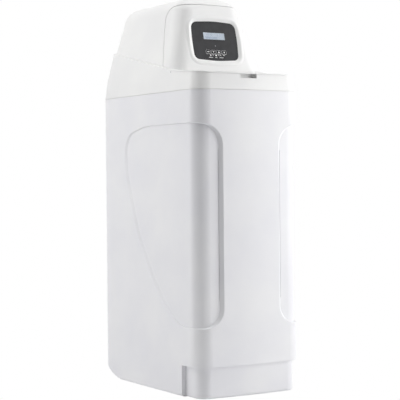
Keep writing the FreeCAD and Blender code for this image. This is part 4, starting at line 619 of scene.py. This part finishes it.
def display_dots():
    """Two rows of sixteen characters: a time of day and a bar of remaining capacity"""
    mesh = bmesh.new()
    cell_width, cell_height = display_cell
    column_pitch, row_pitch = dot_pitch
    for line, signs in enumerate(("  12:30    1 2  ", " ##########---- ")):
        y0 = display_offset + cell_height / 2 - line * cell_height + first_dot[1]
        for place, sign in enumerate(signs):
            x0 = -cell_width * 8 + place * cell_width + first_dot[0]
            for row, bits in enumerate(DIGITS[sign]):
                for column, bit in enumerate(bits):
                    if bit == "1":
                        outline = box_outline(x0 + column * column_pitch, y0 - row * row_pitch, *dot_size)
                        printed_shape(mesh, outline, display_face + ink_lift, dot_thickness)
    make_piece("display_dots", mesh, "segment", "root")


def turned_ring(mesh, radius, y):
    """Ring of vertices about the Y axis, from millimetres"""
    angles = [2 * math.pi * step / turned_steps for step in range(turned_steps)]
    return [mesh.verts.new((radius * math.cos(angle) * MM, y * MM, radius * math.sin(angle) * MM))
            for angle in angles]


def threaded_wall():
    """Threaded tube along Y about the origin: a wavy helical wall, both ends and a plain bore"""
    mesh = bmesh.new()
    length = thread_end - thread_start
    rows = int(length / thread_pitch * thread_rows)
    rings = []
    for row in range(rows + 1):
        y = thread_start + length * row / rows
        fade = max(min(1.0, (thread_end - y) / thread_pitch, (y - thread_start) / thread_pitch), 0.0)
        ring = []
        for step in range(turned_steps):
            angle = 2 * math.pi * step / turned_steps
            phase = (y / thread_pitch + step / turned_steps) % 1.0
            r = thread_radius - thread_depth + thread_depth * abs(2 * phase - 1) * fade
            ring.append(mesh.verts.new((r * math.cos(angle) * MM, y * MM, r * math.sin(angle) * MM)))
        rings.append(ring)
    rings += [turned_ring(mesh, thread_bore, thread_end), turned_ring(mesh, thread_bore, thread_start)]
    wrap(mesh, rings)
    return mesh


def lathe(points):
    """Closed ring about the Y axis, from (radius, y) points in millimetres"""
    mesh = bmesh.new()
    wrap(mesh, [turned_ring(mesh, radius, y) for radius, y in points])
    return mesh


def shift(mesh, x, y, z):
    """Move a mesh by millimetres"""
    bmesh.ops.translate(mesh, verts=mesh.verts, vec=Vector((x, y, z)) * MM)
    return mesh


def hose_barbs(name, spigot, finish):
    """Saw-toothed rings that hold a hose on a spigot"""
    x, z, radius, first, rings = spigot
    points = [(radius - barb_foot, first)]
    for ring in range(rings):
        start = first + ring * barb_pitch
        points += [(radius + height, start + along) for height, along in barb_profile]
    points.append((radius - barb_foot, start + barb_length))
    make_piece(name, shift(lathe(points), x, 0, z), finish, "root")


def pipe_threads():
    """Parallel pipe thread on each connector, its crests 0.4 mm above the connector's wall"""
    for sign, name in ((-1, "inlet_thread"), (1, "outlet_thread")):
        mesh = shift(threaded_wall(), sign * port_x, 0, port_height)
        make_piece(name, mesh, "valve", "root")


def film_outline():
    """The film's outline in the panel's frame, as evenly spaced points with their outward directions"""
    film = NODES["panel_overlay"]
    flat = []
    for vertex in film.data.vertices:
        place = (film.matrix_world @ vertex.co - panel_centre) / MM
        flat.append(Vector((place.x, place.dot(panel_up))))
    hull = [flat[index] for index in convex_hull_2d(flat)]
    sides = list(zip(hull, hull[1:] + hull[:1]))
    step = sum((b - a).length for a, b in sides) / outline_points
    points = []
    walked = 0.0
    for a, b in sides:
        length = (b - a).length
        while len(points) * step < walked + length and len(points) < outline_points:
            points.append(a.lerp(b, (len(points) * step - walked) / length))
        walked += length
    middle = sum(points, Vector((0.0, 0.0))) / outline_points
    outward = []
    for index, point in enumerate(points):
        along = points[(index + tangent_reach) % outline_points] - points[index - tangent_reach]
        away = Vector((along.y, -along.x)).normalized()
        outward.append(away if away.dot(point - middle) > 0.0 else -away)
    return points, outward


def panel_surround():
    """Low soft swell of the fascia round its pocket, steeper on the side of the film"""
    fascia = NODES["control_fascia"]
    mesh = bmesh.new()
    mesh.from_mesh(fascia.data)
    mesh.transform(fascia.matrix_world)
    skin = BVHTree.FromBMesh(mesh)
    mesh.free()
    points, outward = film_outline()
    mesh = bmesh.new()
    rings = []
    for away, lift in surround_profile:
        ring = []
        for point, direction in zip(points, outward):
            x, y = point + direction * away
            over = point + direction * max(away, pocket_rim)
            hit = skin.ray_cast(panel_point(over.x, over.y, ray_start), -panel_out)[0]
            height = (hit - panel_centre).dot(panel_out) / MM + lift
            ring.append(mesh.verts.new(panel_point(x, y, height)))
        rings.append(ring)
    wrap(mesh, rings)
    for face in mesh.faces:
        face.smooth = True
    make_piece("panel_surround", mesh, "cover", "root")


def panel_dressing():
    """All that the panel carries: its surround, marks, print, lamp and display"""
    panel_surround()
    key_marks()
    panel_print()
    status_lamp()
    display_dots()


def seen_directly(tree):
    """1 for rays from the camera, also by way of a gloss or a glass, and 0 for the light's own"""
    path = add(tree, "ShaderNodeLightPath")
    either = add(tree, "ShaderNodeMath", props={"operation": "MAXIMUM"},
                 links={0: path.outputs["Is Camera Ray"], 1: path.outputs["Is Glossy Ray"]})
    return add(tree, "ShaderNodeMath", props={"operation": "MAXIMUM"},
               links={0: either.outputs["Value"], 1: path.outputs["Is Transmission Ray"]}).outputs["Value"]


def studio():
    """Pale floor with a rounded backdrop, plain white to the camera as in the cut-out photograph"""
    mesh = bmesh.new()
    profile = [(floor_front, -floor_drop), (backdrop_start, -floor_drop)]
    for step in range(1, backdrop_steps + 1):
        angle = math.radians(90.0 * step / backdrop_steps)
        profile.append((backdrop_start + backdrop_radius * math.sin(angle),
                        backdrop_radius - backdrop_radius * math.cos(angle) - floor_drop))
    profile.append((backdrop_start + backdrop_radius, backdrop_top))
    rows = [[mesh.verts.new((x, y, z)) for x in (-floor_half_width, floor_half_width)] for y, z in profile]
    for a, b in zip(rows, rows[1:]):
        mesh.faces.new([a[0], a[1], b[1], b[0]]).smooth = True
    floor = add_shape("studio_floor", mesh)
    floor.rotation_euler = (0.0, 0.0, -camera_turn)
    material, tree, shader, place = new_surface("studio_paper", "#F4F4F4", 0.9)
    mottle(tree, shader, place, 400.0, 2.0, "#F3F3F3", "#F6F6F6")
    seen = seen_directly(tree)
    white = add(tree, "ShaderNodeEmission", values={"Color": (1, 1, 1, 1), "Strength": 1.0})
    mix = add(tree, "ShaderNodeMixShader", links={0: seen, 1: shader.outputs["BSDF"],
                                                 2: white.outputs["Emission"]})
    tree.links.new(mix.outputs["Shader"], tree.nodes["Material Output"].inputs["Surface"])
    floor.data.materials.append(material)


def soft_box(name, azimuth, elevation, power):
    """Rectangular lamp on a circle round the object, facing its middle"""
    a = math.radians(azimuth)
    e = math.radians(elevation)
    away = Vector((math.sin(a) * math.cos(e), -math.cos(a) * math.cos(e), math.sin(e)))
    lamp = bpy.data.lights.new(name, "AREA")
    lamp.shape = "RECTANGLE"
    lamp.size, lamp.size_y = lamp_size
    lamp.energy = power
    light = add_object(name, lamp)
    light.location = lamp_target + away * lamp_distance
    light.rotation_euler = away.to_track_quat("Z", "Y").to_euler()


def lighting():
    """Soft boxes to the left rear and to the right, with three high ones; the near corner stays in shade"""
    world = bpy.data.worlds.new("studio_air")
    bpy.context.scene.world = world
    world.use_nodes = True
    tree = world.node_tree
    backdrop = tree.nodes["Background"]
    backdrop.inputs["Color"].default_value = (1, 1, 1, 1)
    strength = add(tree, "ShaderNodeMapRange", values={"To Min": air_strength, "To Max": 1.0},
                   links={"Value": seen_directly(tree)})
    tree.links.new(strength.outputs["Result"], backdrop.inputs["Strength"])
    for name, (azimuth, elevation, power) in lamps.items():
        soft_box(name, azimuth, elevation, power)


def photographer():
    """Camera at the photograph's place, turn and focal length"""
    view = Vector((math.sin(camera_turn) * math.cos(camera_dip),
                   math.cos(camera_turn) * math.cos(camera_dip), -math.sin(camera_dip)))
    right = Vector((math.cos(camera_turn), -math.sin(camera_turn), 0.0))
    up = right.cross(view)
    across = right * math.cos(camera_roll) - up * math.sin(camera_roll)
    upward = right * math.sin(camera_roll) + up * math.cos(camera_roll)
    turn = Matrix((across, upward, -view)).transposed()
    data = bpy.data.cameras.new("camera")
    data.sensor_width = sensor_width
    data.lens = focal_in_pixels / picture_pixels * sensor_width
    data.clip_end = camera_reach
    camera = add_object("camera", data)
    camera.matrix_world = Matrix.Translation(camera_place) @ turn.to_4x4()
    bpy.context.scene.camera = camera


photographer()
lighting()
studio()
dress_nodes()
panel_dressing()
hose_barbs("drain_barbs", drain_spigot, "valve")
hose_barbs("overflow_barbs", overflow_spigot, "brine")
pipe_threads()
bpy.context.scene.view_settings.view_transform = "Standard"
